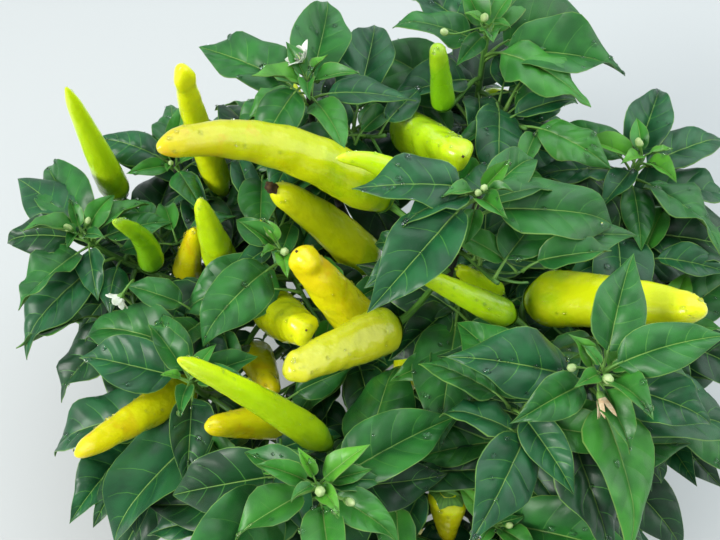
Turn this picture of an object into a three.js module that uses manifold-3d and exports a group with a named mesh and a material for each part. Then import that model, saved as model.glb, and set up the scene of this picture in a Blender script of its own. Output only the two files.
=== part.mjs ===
// A chilli pepper plant of the yellow wax kind, rooted in level ground: a short stem, four boughs,
// a limb to each of the masses of leaves, and fruit that stand or hang on the twigs.
// Millimetres, +Z up. The origin is the middle of the stem's flat cut at ground level, and the
// plant is seen best from -Y and above, where its fruit stand clear of the leaves.
import * as THREE from 'three';
import { mergeVertices } from 'three/addons/utils/BufferGeometryUtils.js';
import Module from 'manifold-3d';

const wasm = await Module();
wasm.setup();

// Solids
const GAP = 0.3; // clear space between two touching pieces
const MERGE = 1e-4; // points nearer than this are one point
const SLIVER = 0.1; // faces thinner than this are closed up when pieces are fused

// Stem and limbs
const FORK = [4, -3, 104]; // where the stem divides
const STEM_RADIUS = { flare: 12.5, foot: 9.2, fork: 7.2 };
const FLARE_HEIGHT = 16;
const STEM_STATIONS = [0, 0.05, 0.11, 0.2, 0.6, 1];
const STEM_SIDES = 10;
const STEM_FORK_LENGTH = 17; // how far the stem's own forks reach along each bough
const BOUGH_RADIUS = { root: 5.4, tip: 4.4 };
const BOUGH_SIDES = 7;
const BOUGH_FORK_LENGTH = 15;
const LIMB_RADIUS = { root: 3.8, tip: 3.0 };
const LIMB_SIDES = 6;
const LIMB_STEPS = 3; // straight stretches in a bough or limb
const BARK_CLEARANCE = 1; // what leaves keep off a bough or limb
const HANDLE = 0.38; // how far a limb keeps its first and last direction, as a share of its span

// Twigs
const LEADER_RADIUS = { root: 3.3, tip: 2.0 };
const SHOOT_RADIUS = { root: 1.9, tip: 1.5 };
const LEADER_STEPS = 4;
const LEADER_SIDES = 5;
const SHOOT_STEPS = 3;
const SHOOT_SIDES = 3;
const SHOOT_FEET = { high: 0.72, low: 0.08 }; // where they leave the leader, as a share of it
const SHOOT_FAN = { high: 150, low: 30 }; // degrees each side of the outward direction
const SHOOT_RISE = { high: 55, low: -15 }; // degrees that the tip rises
const SHOOT_SWING = 24; // degrees of chance in its heading
const SHOOT_REACH_SHARE = { high: 0.8, low: 1.1, chance: 0.15 };
const SHOOT_TRIES = 8;
const SHOOT_TRY_TURN = 17; // degrees between one try and the next
const SHOOT_CLEARANCE = 3.4;
const TWIG_CLEARANCE = 0.8; // what leaves keep off a twig or fruit
const LEAVES_ON_A_SHOOT = 4;
const LEAVES_LOW_ON_A_LEADER = 3;

// Leaves. Angles are in degrees above the level: of the stalk, and of the blade's root and point.
const GOLDEN_ANGLE = 137.5;
const LEAF_TURN_CHANCE = 15;
const LEAF_LENGTH = { low: 96, high: 54 }; // from the foot of a shoot to its tip
const LEAF_LENGTH_CHANCE = [0.82, 1.15];
const SHOOT_SPAN = [0.3, 1]; // the stretch of a shoot that bears leaves
const LEADER_SPAN = [0.2, 0.75];
const CROWN_SPREAD = 0.0021; // a crown leaf stands this share of the leader lower for each mm of it
const CROWN_ANGLES = { rise: 34, tilt: 12, sag: -24 };
const LOW_ANGLES = { rise: 18, tilt: 4, sag: -46 };
const HIGH_ANGLES = { rise: 45, tilt: 22, sag: -20 };
const ANGLE_CHANCE = { rise: 10, tilt: 14, sag: 16, roll: 20 };
const LEAF_BREADTH = 0.52; // widest, as a share of the length
const LEAF_THICKNESS = 0.012; // as a share of the length
const LEAST_THICKNESS = 0.8;
const PETIOLE_RADIUS = { foot: 0.55, blade: 1.1 };
const PETIOLE_LENGTH = { least: 5, share: 0.16 }; // of the blade's length, more than the least
const PETIOLE_FREE = 0.45; // the share of it, from the twig, that may pass other twigs
const BLADE_STATIONS = [0.32, 0.68]; // where the fit of a blade is tested
const WIDEST = 0.4; // where the solid blade is broadest
const LEAF_FOLD = 16; // degrees that each half rises from the midrib
const LEAF_TRIES = 12;
const LEAF_TRY_TURN = 13; // degrees further to one side or the other at each try
const LEAF_TRY_SHRINK = 0.028;
const LEAF_CLEARANCE = 1.3;
const SAMPLE_STATIONS = [0.12, 0.32, 0.5, 0.68, 0.86]; // where a blade may not hide a fruit
const LEAST_HEIGHT = 22; // no leaf comes nearer to the ground

// Fruit. They stand clear of leaves towards the point where the light comes from.
const LIGHT = [-10, -290, 782];
const SEEN = 0.92; // the share of a fruit's breadth that stands clear
const FRUIT_STATIONS = [0, 0.08, 0.35, 0.7, 0.93];
const FRUIT_SIDES = 6;
const FRUIT_TWIG_RADIUS = { root: 1.5, tip: 2.4 };
const FRUIT_SINK = 3; // how far the twig runs into its fruit
const FRUIT_TWIG_FEET = [0.06, 0.14, 0.22, 0.3, 0.38, 0.46, 0.54, 0.62, 0.7, 0.78];
const FRUIT_TWIG_CLIMB = 12; // how far below its fruit a twig starts, at the least

// name, where it ends
const BOUGHS = {
  left: [-58, 12, 156],
  right: [60, -22, 160],
  back: [8, 60, 162],
  front: [-14, -62, 150],
};

// bough: what carries it. foot: where the limb ends and the twigs begin. top: the leader's tip.
// crown: [heading in degrees, length] of the large leaves that ring the leader's tip.
const MASSES = {
  centre: {
    bough: 'right', foot: [52, -2, 212], top: [60, 4, 362], sides: 4, reach: 52, drop: 150,
    crown: [[0, 84], [84, 62], [150, 58], [-130, 86], [-106, 24], [40, 50]],
  },
  inner: {
    bough: 'back', foot: [-38, 42, 184], top: [-62, 6, 296], sides: 4, reach: 50, drop: 125,
    crown: [[-129, 74], [-168, 48], [100, 52]],
  },
  low_middle: {
    bough: 'front', foot: [-20, -36, 172], top: [-14, -22, 204], sides: 5, reach: 66, drop: 34,
    crown: [[-170, 70], [-75, 66], [10, 72], [80, 70], [130, 60]],
  },
  right: {
    bough: 'right', foot: [104, -62, 200], top: [126, -97, 332], sides: 6, reach: 66, drop: 205,
    crown: [[148, 82], [81, 44], [70, 72], [15, 74], [-76, 38], [10, 44], [-78, 84], [-177, 54]],
  },
  far_right: {
    bough: 'right', foot: [130, 44, 194], top: [192, 90, 284], sides: 5, reach: 62, drop: 160,
    crown: [[23, 76], [67, 70], [-49, 74], [135, 56], [-129, 40], [170, 66]],
  },
  low_right: {
    bough: 'right', foot: [142, -22, 172], top: [206, -22, 236], sides: 4, reach: 58, drop: 122,
    crown: [[35, 76], [-30, 74], [95, 62], [160, 66], [-95, 60]],
  },
  back: {
    bough: 'back', foot: [-26, 110, 194], top: [-46, 114, 338], sides: 6, reach: 64, drop: 212,
    crown: [[147, 90], [112, 86], [80, 76], [-4, 62], [-63, 50], [-152, 42], [-165, 44]],
  },
  back_right: {
    bough: 'back', foot: [60, 124, 200], top: [82, 170, 332], sides: 6, reach: 66, drop: 205,
    crown: [[-5, 92], [15, 90], [-36, 78], [60, 80], [120, 76], [-129, 30], [170, 60]],
  },
  left: {
    bough: 'left', foot: [-138, 34, 186], top: [-212, 46, 250], sides: 5, reach: 56, drop: 132,
    crown: [[113, 88], [-178, 56], [38, 44], [-74, 42], [75, 64], [140, 80], [-125, 60]],
  },
  back_left: {
    bough: 'left', foot: [-112, 76, 182], top: [-156, 120, 236], sides: 4, reach: 52, drop: 112,
    crown: [[100, 66], [30, 60], [160, 54], [-30, 46], [65, 72]],
  },
  front_left: {
    bough: 'left', foot: [-102, -38, 174], top: [-120, -72, 262], sides: 5, reach: 64, drop: 136,
    crown: [[180, 74], [-152, 80], [-104, 70], [147, 56], [-20, 44]],
  },
  front: {
    bough: 'front', foot: [-26, -112, 184], top: [-34, -152, 304], sides: 5, reach: 62, drop: 172,
    crown: [[129, 44], [54, 86], [-33, 48], [-148, 46], [1, 26], [-19, 34], [-80, 50]],
  },
  low_front: {
    bough: 'front', foot: [42, -118, 176], top: [72, -160, 244], sides: 5, reach: 62, drop: 126,
    crown: [[-106, 84], [-53, 72], [0, 70], [52, 50], [-150, 60], [172, 66]],
  },
};

// foot and tip: the ends of the fruit. girth: its widest. bow: how far its middle stands off the
// straight line. point: how blunt the tip is, as a share of the girth. bare: how much of the
// length, from the tip, no leaf hides.
const FRUIT = [
  { mass: 'back_left', foot: [-204, 112, 205], tip: [-200, 93, 355], girth: 24, point: 0.3, bare: 0.8 },
  { mass: 'back_left', foot: [-119, 110, 213], tip: [-121, 90, 377], girth: 22, bow: [-6, 8, 0], point: 0.6, bare: 0.9 },
  { mass: 'centre', foot: [9, 50, 285], tip: [-126, 18, 387], girth: 34, bow: [-5, 18, 9], point: 0.46, bare: 0.95 },
  { mass: 'centre', foot: [29, 37, 319], tip: [-25, 37, 353], girth: 18, bow: [0, 5, 4], point: 0.3, bare: 0.7 },
  { mass: 'inner', foot: [-1, 45, 205], tip: [-67, 41, 315], girth: 34, bow: [-1, 7, 0], point: 0.48, bare: 0.7 },
  { mass: 'centre', foot: [1, -26, 225], tip: [-49, -13, 325], girth: 33, point: 0.55, bare: 0.8 },
  { mass: 'front_left', foot: [-75, 5, 208], tip: [-45, -41, 272], girth: 34, point: 0.55, bare: 0.45 },
  { mass: 'front_left', foot: [-92, -12, 176], tip: [-70, -64, 222], girth: 27, point: 0.45, bare: 0.3 },
  { mass: 'centre', foot: [12, -44, 286], tip: [-52, -96, 330], girth: 29, point: 0.55, bare: 0.8 },
  { mass: 'right', foot: [34, -32, 236], tip: [20, -46, 166], girth: 32, point: 0.45, bare: 0 },
  { mass: 'centre', foot: [24, 139, 257], tip: [55, 46, 343], girth: 34, point: 0.55, bare: 0.7 },
  { mass: 'back_right', foot: [50, 123, 300], tip: [40, 120, 365], girth: 17, point: 0.6, bare: 1 },
  { mass: 'right', foot: [89, -35, 278], tip: [20, -34, 339], girth: 19, point: 0.4, bare: 0.85 },
  { mass: 'right', foot: [107, -8, 252], tip: [189, -61, 338], girth: 38, bow: [6, -1, 5], point: 0.4, bare: 0 },
  { mass: 'centre', foot: [82, -9, 262], tip: [52, -14, 307], girth: 18, point: 0.45, bare: 0.6 },
  { mass: 'front_left', foot: [-131, -51, 203], tip: [-175, -131, 292], girth: 27, point: 0.42, bare: 0.6 },
  { mass: 'front', foot: [-31, -106, 236], tip: [-104, -106, 372], girth: 20, bow: [0, 3, 0], point: 0.4, bare: 0.95 },
  { mass: 'front', foot: [-56, -78, 208], tip: [-104, -108, 276], girth: 26, point: 0.42, bare: 0.3 },
  { mass: 'left', foot: [-165, 32, 225], tip: [-175, 28, 296], girth: 19, bow: [6, 6, 0], point: 0.4, bare: 0.95 },
  { mass: 'inner', foot: [-111, 35, 222], tip: [-114, 31, 318], girth: 24, point: 0.34, bare: 0.7 },
  { mass: 'left', foot: [-146, 47, 190], tip: [-128, 44, 262], girth: 22, point: 0.36, bare: 0.2 },
  { mass: 'low_front', foot: [44, -141, 254], tip: [47, -159, 204], girth: 24, point: 0.36, bare: 0.4 },
  { mass: 'low_front', foot: [19, -103, 226], tip: [27, -111, 276], girth: 18, point: 0.35, bare: 0 },
  { mass: 'front', foot: [-2, -112, 206], tip: [34, -142, 126], girth: 28, point: 0.42, bare: 0 },
  { mass: 'back', foot: [-52, 150, 236], tip: [-86, 214, 262], girth: 27, point: 0.4, bare: 0 },
  { mass: 'back_right', foot: [96, 176, 238], tip: [128, 222, 196], girth: 29, point: 0.4, bare: 0 },
  { mass: 'far_right', foot: [172, 96, 204], tip: [222, 142, 160], girth: 27, point: 0.38, bare: 0 },
  { mass: 'low_right', foot: [186, -44, 186], tip: [214, -84, 108], girth: 28, point: 0.42, bare: 0 },
];

const UP = new THREE.Vector3(0, 0, 1);
const vector = (at) => new THREE.Vector3(...at);
const radians = THREE.MathUtils.degToRad;
const mix = THREE.MathUtils.lerp;

// A repeatable chance from 0 to 1: the same key of whole numbers always gives the same one.
function chance(...key) {
  let h = 0x9e3779b9;
  for (const k of key) {
    h = Math.imul(h ^ (k + 0x7f4a7c15), 0x85ebca6b) >>> 0;
    h = (h ^ (h >>> 13)) >>> 0;
    h = Math.imul(h, 0xc2b2ae35) >>> 0;
    h = (h ^ (h >>> 16)) >>> 0;
  }
  return h / 4294967296;
}

function between(low, high, ...key) {
  return low + (high - low) * chance(...key);
}

// The unit vector with a compass heading and a rise above the level, both in degrees.
function towards(heading, rise) {
  const h = radians(heading);
  const r = radians(rise);
  return new THREE.Vector3(Math.cos(r) * Math.cos(h), Math.cos(r) * Math.sin(h), Math.sin(r));
}

// A smooth path that leaves `from` along `start` and comes to `to` along `end`.
function path(from, start, to, end) {
  const reach = from.distanceTo(to) * HANDLE;
  return new THREE.CubicBezierCurve3(
    from.clone(),
    from.clone().addScaledVector(start.clone().normalize(), reach),
    to.clone().addScaledVector(end.clone().normalize(), -reach),
    to.clone(),
  );
}

// A closed skin over rings that all have the same number of points. Points that fall together
// leave no face, so a ring of one place is a tip.
function loft(rings) {
  const sides = rings[0].length;
  const index = [];
  for (let i = 0; i < rings.length - 1; i++) {
    for (let j = 0; j < sides; j++) {
      const k = (j + 1) % sides;
      const [a, b] = [i * sides, (i + 1) * sides];
      index.push(a + j, a + k, b + k, a + j, b + k, b + j);
    }
  }
  const last = (rings.length - 1) * sides;
  for (let j = 1; j < sides - 1; j++) index.push(0, j + 1, j, last, last + j, last + j + 1);
  const geometry = new THREE.BufferGeometry().setFromPoints(rings.flat());
  geometry.setIndex(index);
  return geometry;
}

// Rings of `sides` points round a curve, from share t0 to share t1 of it.
function ringsAlong(curve, t0, t1, steps, sides, radiusAt) {
  let normal = null;
  const rings = [];
  for (let i = 0; i <= steps; i++) {
    const t = mix(t0, t1, i / steps);
    const centre = curve.getPoint(t);
    const tangent = curve.getTangent(t);
    normal = normal || (Math.abs(tangent.z) < 0.9 ? UP.clone() : new THREE.Vector3(1, 0, 0));
    normal = normal.clone().addScaledVector(tangent, -normal.dot(tangent)).normalize();
    const side = new THREE.Vector3().crossVectors(tangent, normal);
    const ring = [];
    for (let j = 0; j < sides; j++) {
      const a = (2 * Math.PI * j) / sides;
      ring.push(centre.clone()
        .addScaledVector(normal, Math.cos(a) * radiusAt(t))
        .addScaledVector(side, Math.sin(a) * radiusAt(t)));
    }
    rings.push(ring);
  }
  return rings;
}

function taper(radius) {
  return (t) => mix(radius.root, radius.tip, t);
}

function tube(curve, t0, t1, steps, sides, radiusAt) {
  return loft(ringsAlong(curve, t0, t1, steps, sides, radiusAt));
}

// The middle of a tube of straight steps, near a share of its curve.
function middleOf(curve, share, steps) {
  const step = Math.min(Math.floor(share * steps), steps - 1);
  return curve.getPoint(step / steps).lerp(curve.getPoint((step + 1) / steps), share * steps - step);
}

// The share of a curve that lies `distance` along it.
function shareAt(curve, distance) {
  return distance / curve.getLength();
}

function solidOf(geometry) {
  const bare = new THREE.BufferGeometry().setAttribute('position', geometry.getAttribute('position'));
  bare.setIndex(geometry.index);
  const merged = mergeVertices(bare, MERGE);
  const corners = merged.index.array;
  const kept = [];
  for (let i = 0; i < corners.length; i += 3) {
    const [a, b, c] = corners.slice(i, i + 3);
    if (a !== b && b !== c && c !== a) kept.push(a, b, c);
  }
  return new wasm.Manifold(new wasm.Mesh({
    numProp: 3,
    vertProperties: merged.attributes.position.array,
    triVerts: new Uint32Array(kept),
  }));
}

// One body from several solids, with slivers closed up and loose scraps dropped.
function fuse(solids) {
  const bodies = wasm.Manifold.union(solids).simplify(SLIVER).decompose();
  return bodies.reduce((a, b) => (b.volume() > a.volume() ? b : a));
}

function geometryOf(solid) {
  const mesh = solid.getMesh();
  const points = new Float32Array(mesh.numVert * 3);
  for (let i = 0; i < mesh.numVert; i++) {
    points.set(mesh.vertProperties.subarray(i * mesh.numProp, i * mesh.numProp + 3), i * 3);
  }
  const geometry = new THREE.BufferGeometry();
  geometry.setAttribute('position', new THREE.BufferAttribute(points, 3));
  geometry.setIndex(new THREE.BufferAttribute(mesh.triVerts, 1));
  geometry.computeVertexNormals();
  return geometry;
}

// Where a segment from a to b passes through a triangle.
function crosses(a, b, p, q, r) {
  const way = new THREE.Vector3().subVectors(b, a);
  const e1 = new THREE.Vector3().subVectors(q, p);
  const e2 = new THREE.Vector3().subVectors(r, p);
  const h = new THREE.Vector3().crossVectors(way, e2);
  const det = e1.dot(h);
  if (Math.abs(det) < 1e-12) return false;
  const s = new THREE.Vector3().subVectors(a, p);
  const u = s.dot(h) / det;
  if (u < 0 || u > 1) return false;
  const n = new THREE.Vector3().crossVectors(s, e1);
  const v = way.dot(n) / det;
  if (v < 0 || u + v > 1) return false;
  const t = e2.dot(n) / det;
  return t >= 0 && t <= 1;
}

// A simple stand-in for a piece, for telling whether two pieces meet.
function standIn(points, faces, owner) {
  const centre = new THREE.Box3().setFromPoints(points).getCenter(new THREE.Vector3());
  const radius = Math.max(...points.map((p) => p.distanceTo(centre)));
  const edges = new Map();
  for (const [i, j, k] of faces) {
    for (const [a, b] of [[i, j], [j, k], [k, i]]) {
      edges.set(Math.min(a, b) * 1000 + Math.max(a, b), [points[a], points[b]]);
    }
  }
  return { triangles: faces.map((f) => f.map((i) => points[i])), edges: [...edges.values()], centre, radius, owner };
}

function tubeStandIn(curve, t0, t1, steps, sides, radiusAt, owner) {
  const rings = ringsAlong(curve, t0, t1, steps, sides, radiusAt);
  const faces = [];
  for (let i = 0; i < steps; i++) {
    for (let j = 0; j < sides; j++) {
      const k = (j + 1) % sides;
      const a = i * sides;
      faces.push([a + j, a + k, a + sides + k], [a + j, a + sides + k, a + sides + j]);
    }
  }
  return standIn(rings.flat(), faces, owner);
}

function meet(one, other) {
  if (one.centre.distanceTo(other.centre) > one.radius + other.radius) return false;
  const through = (a, b) => a.edges.some(([p, q]) => b.triangles.some((t) => crosses(p, q, ...t)));
  return through(one, other) || through(other, one);
}

// How wide a leaf is along its length, as a share of its widest.
function leafOutline(s) {
  return (s ** 0.62 * (1 - s) ** 1.08) / 0.334;
}

// The half width of a fruit along its length, as a share of its widest.
function fruitOutline(s, point) {
  const shoulder = s < 0.14 ? 0.42 + 0.58 * Math.sin((Math.PI / 2) * (s / 0.14)) : 1;
  const narrowing = 1 - (1 - point) * Math.max(0, (s - 0.14) / 0.86) ** 1.25;
  const nose = s > 0.9 ? Math.sqrt(Math.max(0, 1 - ((s - 0.9) / 0.1) ** 2)) : 1;
  return shoulder * narrowing * nose;
}

// A leaf's midrib is an arc in the upright plane of its heading, from `tilt` to `sag` degrees.
function bladePoint(leaf, s) {
  const start = radians(leaf.tilt);
  const turn = radians(leaf.sag - leaf.tilt);
  const across = (leaf.length / turn) * (Math.sin(start + turn * s) - Math.sin(start));
  const rise = (-leaf.length / turn) * (Math.cos(start + turn * s) - Math.cos(start));
  return leaf.base.clone()
    .addScaledVector(towards(leaf.heading, 0), across)
    .addScaledVector(UP, rise);
}

// The leaf's own axes at a share of its length: along it, to its left, and up from its face.
function bladeAxes(leaf, s) {
  const along = towards(leaf.heading, mix(leaf.tilt, leaf.sag, s));
  const level = towards(leaf.heading + 90, 0);
  const up = new THREE.Vector3().crossVectors(along, level);
  const roll = radians(leaf.roll);
  const left = level.clone().multiplyScalar(Math.cos(roll)).addScaledVector(up, Math.sin(roll));
  return { along, left, up: new THREE.Vector3().crossVectors(along, left) };
}

// Left edge, midrib and right edge at a share of the leaf's length.
function bladeRow(leaf, s) {
  const { left, up } = bladeAxes(leaf, s);
  const middle = bladePoint(leaf, s);
  const half = (leaf.length * LEAF_BREADTH * leafOutline(s)) / 2;
  const fold = radians(LEAF_FOLD);
  const edge = (sign) => middle.clone()
    .addScaledVector(left, sign * half * Math.cos(fold))
    .addScaledVector(up, half * Math.sin(fold));
  return [edge(1), middle, edge(-1)];
}

function makeLeaf(foot, heading, length, angles) {
  const petiole = PETIOLE_LENGTH.share * length + PETIOLE_LENGTH.least;
  const base = foot.clone().addScaledVector(towards(heading, angles.rise), petiole);
  return { foot, heading, length, ...angles, base };
}

// The blade as eight triangles, moved `offset` up from its face.
function leafStandIn(leaf, offset, owner) {
  const { up } = bladeAxes(leaf, 0.5);
  const rows = BLADE_STATIONS.map((s) => bladeRow(leaf, s));
  const points = [bladePoint(leaf, 0), ...rows.flat(), bladePoint(leaf, 1)]
    .map((p) => p.clone().addScaledVector(up, offset));
  const faces = [
    [0, 1, 2], [0, 2, 3], [1, 4, 5], [1, 5, 2], [2, 5, 6], [2, 6, 3], [4, 7, 5], [5, 7, 6],
  ];
  const blade = standIn(points, faces, owner);
  blade.edges.push([leaf.foot.clone().lerp(leaf.base, PETIOLE_FREE), leaf.base]);
  return blade;
}

// `root` is the middle of the solid twig where the leaf stands on it.
function leafSolid(leaf, root) {
  const half = Math.max(LEAST_THICKNESS, leaf.length * LEAF_THICKNESS) / 2;
  const { left, up } = bladeAxes(leaf, 0);
  const stalk = (centre, radius) => {
    const corner = (a) => centre.clone()
      .addScaledVector(left, radius * Math.cos(radians(a)))
      .addScaledVector(up, radius * Math.sin(radians(a)));
    return [corner(30), corner(30), corner(150), corner(270)];
  };
  const [leftEdge, middle, rightEdge] = bladeRow(leaf, WIDEST);
  const over = bladeAxes(leaf, WIDEST).up.multiplyScalar(half);
  return solidOf(loft([
    stalk(root, PETIOLE_RADIUS.foot),
    stalk(leaf.base, PETIOLE_RADIUS.blade),
    [leftEdge, middle.clone().add(over), rightEdge, middle.clone().sub(over)],
    Array(4).fill(bladePoint(leaf, 1)),
  ]));
}

function fruitSolid(fruit) {
  const radiusAt = (s) => (fruit.girth / 2) * fruitOutline(s, fruit.point);
  const rings = FRUIT_STATIONS.map((s) => ringsAlong(fruit.curve, s, s, 1, FRUIT_SIDES, radiusAt)[0]);
  return solidOf(loft([...rings, Array(FRUIT_SIDES).fill(fruit.tip)]));
}

// The stem, with its flare at the ground
function stemSolid(curve) {
  const radiusAt = (t) => {
    const flare = Math.max(0, 1 - (t * FORK[2]) / FLARE_HEIGHT) ** 2 * (STEM_RADIUS.flare - STEM_RADIUS.foot);
    return mix(STEM_RADIUS.foot, STEM_RADIUS.fork, t) + flare;
  };
  const rings = STEM_STATIONS.map((t) => ringsAlong(curve, t, t, 1, STEM_SIDES, radiusAt)[0]);
  rings[0].forEach((p) => p.setZ(0));
  return solidOf(loft(rings));
}

// The first stretch of each limb that a stem or bough carries
function forks(curves, length, radius) {
  return curves.map((c) => solidOf(tube(c, 0, shareAt(c, length), 1, BOUGH_SIDES, taper(radius))));
}

// All that is built: stand-ins that later twigs and leaves keep clear of, and exact solids
const taken = [];
const placed = [];

function place(owner, solid) {
  const { min, max } = solid.boundingBox();
  placed.push({ owner, solid, box: new THREE.Box3(vector(min), vector(max)) });
}

function keep(mass, solid) {
  mass.solids.push(solid);
  place(mass.name, solid);
}

// Whether a solid keeps its distance from everything outside its own mass
function standsClear(solid, mass) {
  const { min, max } = solid.boundingBox();
  const box = new THREE.Box3(vector(min), vector(max)).expandByScalar(GAP);
  return !placed.some((other) => other.owner !== mass.name && box.intersectsBox(other.box)
    && solid.minGap(other.solid, GAP) < GAP * 0.9);
}

// Whether a point stands between the light and the bare stretch of a fruit
function hides(point, fruit) {
  const light = vector(LIGHT);
  const sight = point.clone().sub(light).normalize();
  return [0, 1, 2, 3, 4, 5, 6].some((i) => {
    const offset = fruit.curve.getPoint(mix(1 - fruit.bare, 0.97, i / 6)).sub(light);
    const depth = offset.dot(sight);
    const aside = offset.addScaledVector(sight, -depth).length();
    return depth > point.distanceTo(light) && aside < (fruit.girth / 2) * SEEN;
  });
}

function leafFits(leaf, shoot) {
  const samples = [leaf.base, ...SAMPLE_STATIONS.flatMap((s) => bladeRow(leaf, s)), bladePoint(leaf, 1)];
  if (samples.some((p) => p.z < LEAST_HEIGHT)) return false;
  if (fruits.some((f) => f.bare > 0 && samples.some((p) => hides(p, f)))) return false;
  const layers = [-LEAF_CLEARANCE, 0, LEAF_CLEARANCE].map((d) => leafStandIn(leaf, d, shoot));
  const stalk = leaf.foot.clone().lerp(leaf.base, PETIOLE_FREE);
  return !taken.some((other) => layers.some((layer) => meet(layer, other))
    || (other.owner !== shoot && other.triangles.some((t) => crosses(stalk, leaf.base, ...t))));
}

const MATERIALS = {
  stem: { color: 0x5c6b3a, roughness: 0.7, metalness: 0 },
  bough: { color: 0x4f7a34, roughness: 0.6, metalness: 0 },
  limb: { color: 0x4f7a34, roughness: 0.6, metalness: 0 },
  foliage: { color: 0x2c6b34, roughness: 0.45, metalness: 0 },
};

const plant = new THREE.Group();
plant.name = 'chilli_pepper_plant';

// A node is named by its kind, and by which one of its kind it is.
function addNode(solid, kind, which) {
  const mesh = new THREE.Mesh(geometryOf(solid), new THREE.MeshStandardMaterial(MATERIALS[kind]));
  mesh.name = which ? kind + '_' + which : kind;
  plant.add(mesh);
}

// A limb's node, and the stand-in of its whole length
function addLimb(solid, kind, which, curve, radius) {
  addNode(solid, kind, which);
  place(kind, solid);
  taken.push(tubeStandIn(curve, 0, 1, 3, 5, () => radius + BARK_CLEARANCE, kind));
}

function addTwig(mass, curve, radius, steps, sides) {
  const shoot = { curve, steps, name: mass.name + ' ' + mass.shoots.length };
  mass.shoots.push(shoot);
  keep(mass, solidOf(tube(curve, 0, 1, steps, sides, taper(radius))));
  const radiusAt = (t) => taper(radius)(t) + TWIG_CLEARANCE;
  taken.push(tubeStandIn(curve, 0, 1, steps, 3, radiusAt, shoot.name));
}

// A fruit stands on a twig that leaves the nearest lower point of its mass's leader.
function addFruit(mass, fruit, number) {
  const cost = (t) => {
    const p = mass.leader.getPoint(t);
    return p.distanceTo(fruit.foot) + 3 * Math.max(0, p.z + FRUIT_TWIG_CLIMB - fruit.foot.z);
  };
  const share = FRUIT_TWIG_FEET.reduce((a, b) => (cost(b) < cost(a) ? b : a));
  const from = mass.leader.getPoint(share);
  const way = fruit.foot.clone().sub(from).normalize();
  const along = fruit.curve.getTangent(0);
  const into = fruit.foot.clone().addScaledVector(along, FRUIT_SINK);
  const twig = path(from, way.add(mass.leader.getTangent(share)), into, along);
  keep(mass, fruitSolid(fruit));
  keep(mass, solidOf(tube(twig, 0, 1, SHOOT_STEPS, SHOOT_SIDES, taper(FRUIT_TWIG_RADIUS))));
  const owner = 'fruit ' + number;
  const fruitRadius = (s) => (fruit.girth / 2) * fruitOutline(s, fruit.point) + TWIG_CLEARANCE;
  const twigRadius = (t) => taper(FRUIT_TWIG_RADIUS)(t) + TWIG_CLEARANCE;
  taken.push(tubeStandIn(fruit.curve, 0.02, 0.97, 4, 6, fruitRadius, owner));
  taken.push(tubeStandIn(twig, 0.1, 1, 3, 3, twigRadius, owner));
}

// The k-th side shoot of a mass. The top ones lean over the middle of the plant, and the low
// ones spread outwards and hang.
function addSideShoot(mass, k) {
  const low = (k + 1) / mass.sides;
  const share = mix(SHOOT_FEET.high, SHOOT_FEET.low, low);
  const outward = THREE.MathUtils.radToDeg(Math.atan2(mass.top.y, mass.top.x));
  const turn = (k % 2 ? 1 : -1) * mix(SHOOT_FAN.high, SHOOT_FAN.low, low);
  const rise = mix(SHOOT_RISE.high, SHOOT_RISE.low, low);
  const reach = mass.reach * mix(SHOOT_REACH_SHARE.high, SHOOT_REACH_SHARE.low, low);
  const from = mass.leader.getPoint(share);
  for (let attempt = 0; attempt < SHOOT_TRIES; attempt++) {
    const swing = between(-SHOOT_SWING, SHOOT_SWING, mass.number, k, attempt, 1);
    const heading = outward + turn + swing + attempt * SHOOT_TRY_TURN;
    const spare = SHOOT_REACH_SHARE.chance;
    const far = reach * between(1 - spare, 1 + spare, mass.number, k, attempt, 2);
    const to = from.clone().addScaledVector(towards(heading, 0), far).setZ(mass.top.z - mass.drop * low);
    const start = towards(heading, 20).addScaledVector(mass.leader.getTangent(share), 0.6);
    const curve = path(from, start, to, towards(heading, rise));
    const probe = tubeStandIn(curve, 0.1, 1, 3, 3, () => SHOOT_CLEARANCE, 'probe');
    if (taken.some((other) => other.owner !== mass.shoots[0].name && meet(probe, other))) continue;
    addTwig(mass, curve, SHOOT_RADIUS, SHOOT_STEPS, SHOOT_SIDES);
    return;
  }
}

// A leaf is turned and made a little smaller until it fits, or else left out.
function growLeaf(mass, shoot, plan, key) {
  const foot = shoot.curve.getPoint(plan.share);
  const root = middleOf(shoot.curve, plan.share, shoot.steps);
  for (let attempt = 0; attempt < LEAF_TRIES; attempt++) {
    const swing = (attempt % 2 ? 1 : -1) * Math.ceil(attempt / 2) * LEAF_TRY_TURN;
    const spread = (name, number) => between(-ANGLE_CHANCE[name], ANGLE_CHANCE[name], ...key, attempt, number);
    const leaf = makeLeaf(foot, plan.heading + swing, plan.length * (1 - LEAF_TRY_SHRINK * attempt), {
      rise: plan.rise + spread('rise', 3),
      tilt: plan.tilt + spread('tilt', 4),
      sag: plan.sag + spread('sag', 5),
      roll: spread('roll', 6),
    });
    if (!leafFits(leaf, shoot.name)) continue;
    const solid = leafSolid(leaf, root);
    if (!standsClear(solid, mass)) continue;
    keep(mass, solid);
    taken.push(leafStandIn(leaf, 0, shoot.name + ' leaf'));
    return;
  }
}

// The large leaves that ring the tip of a mass's leader
function growCrown(mass) {
  mass.crown.forEach(([heading, length], k) => {
    const plan = { share: 1 - CROWN_SPREAD * length, heading, length, ...CROWN_ANGLES };
    growLeaf(mass, mass.shoots[0], plan, [mass.number, 100, k]);
  });
}

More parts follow.
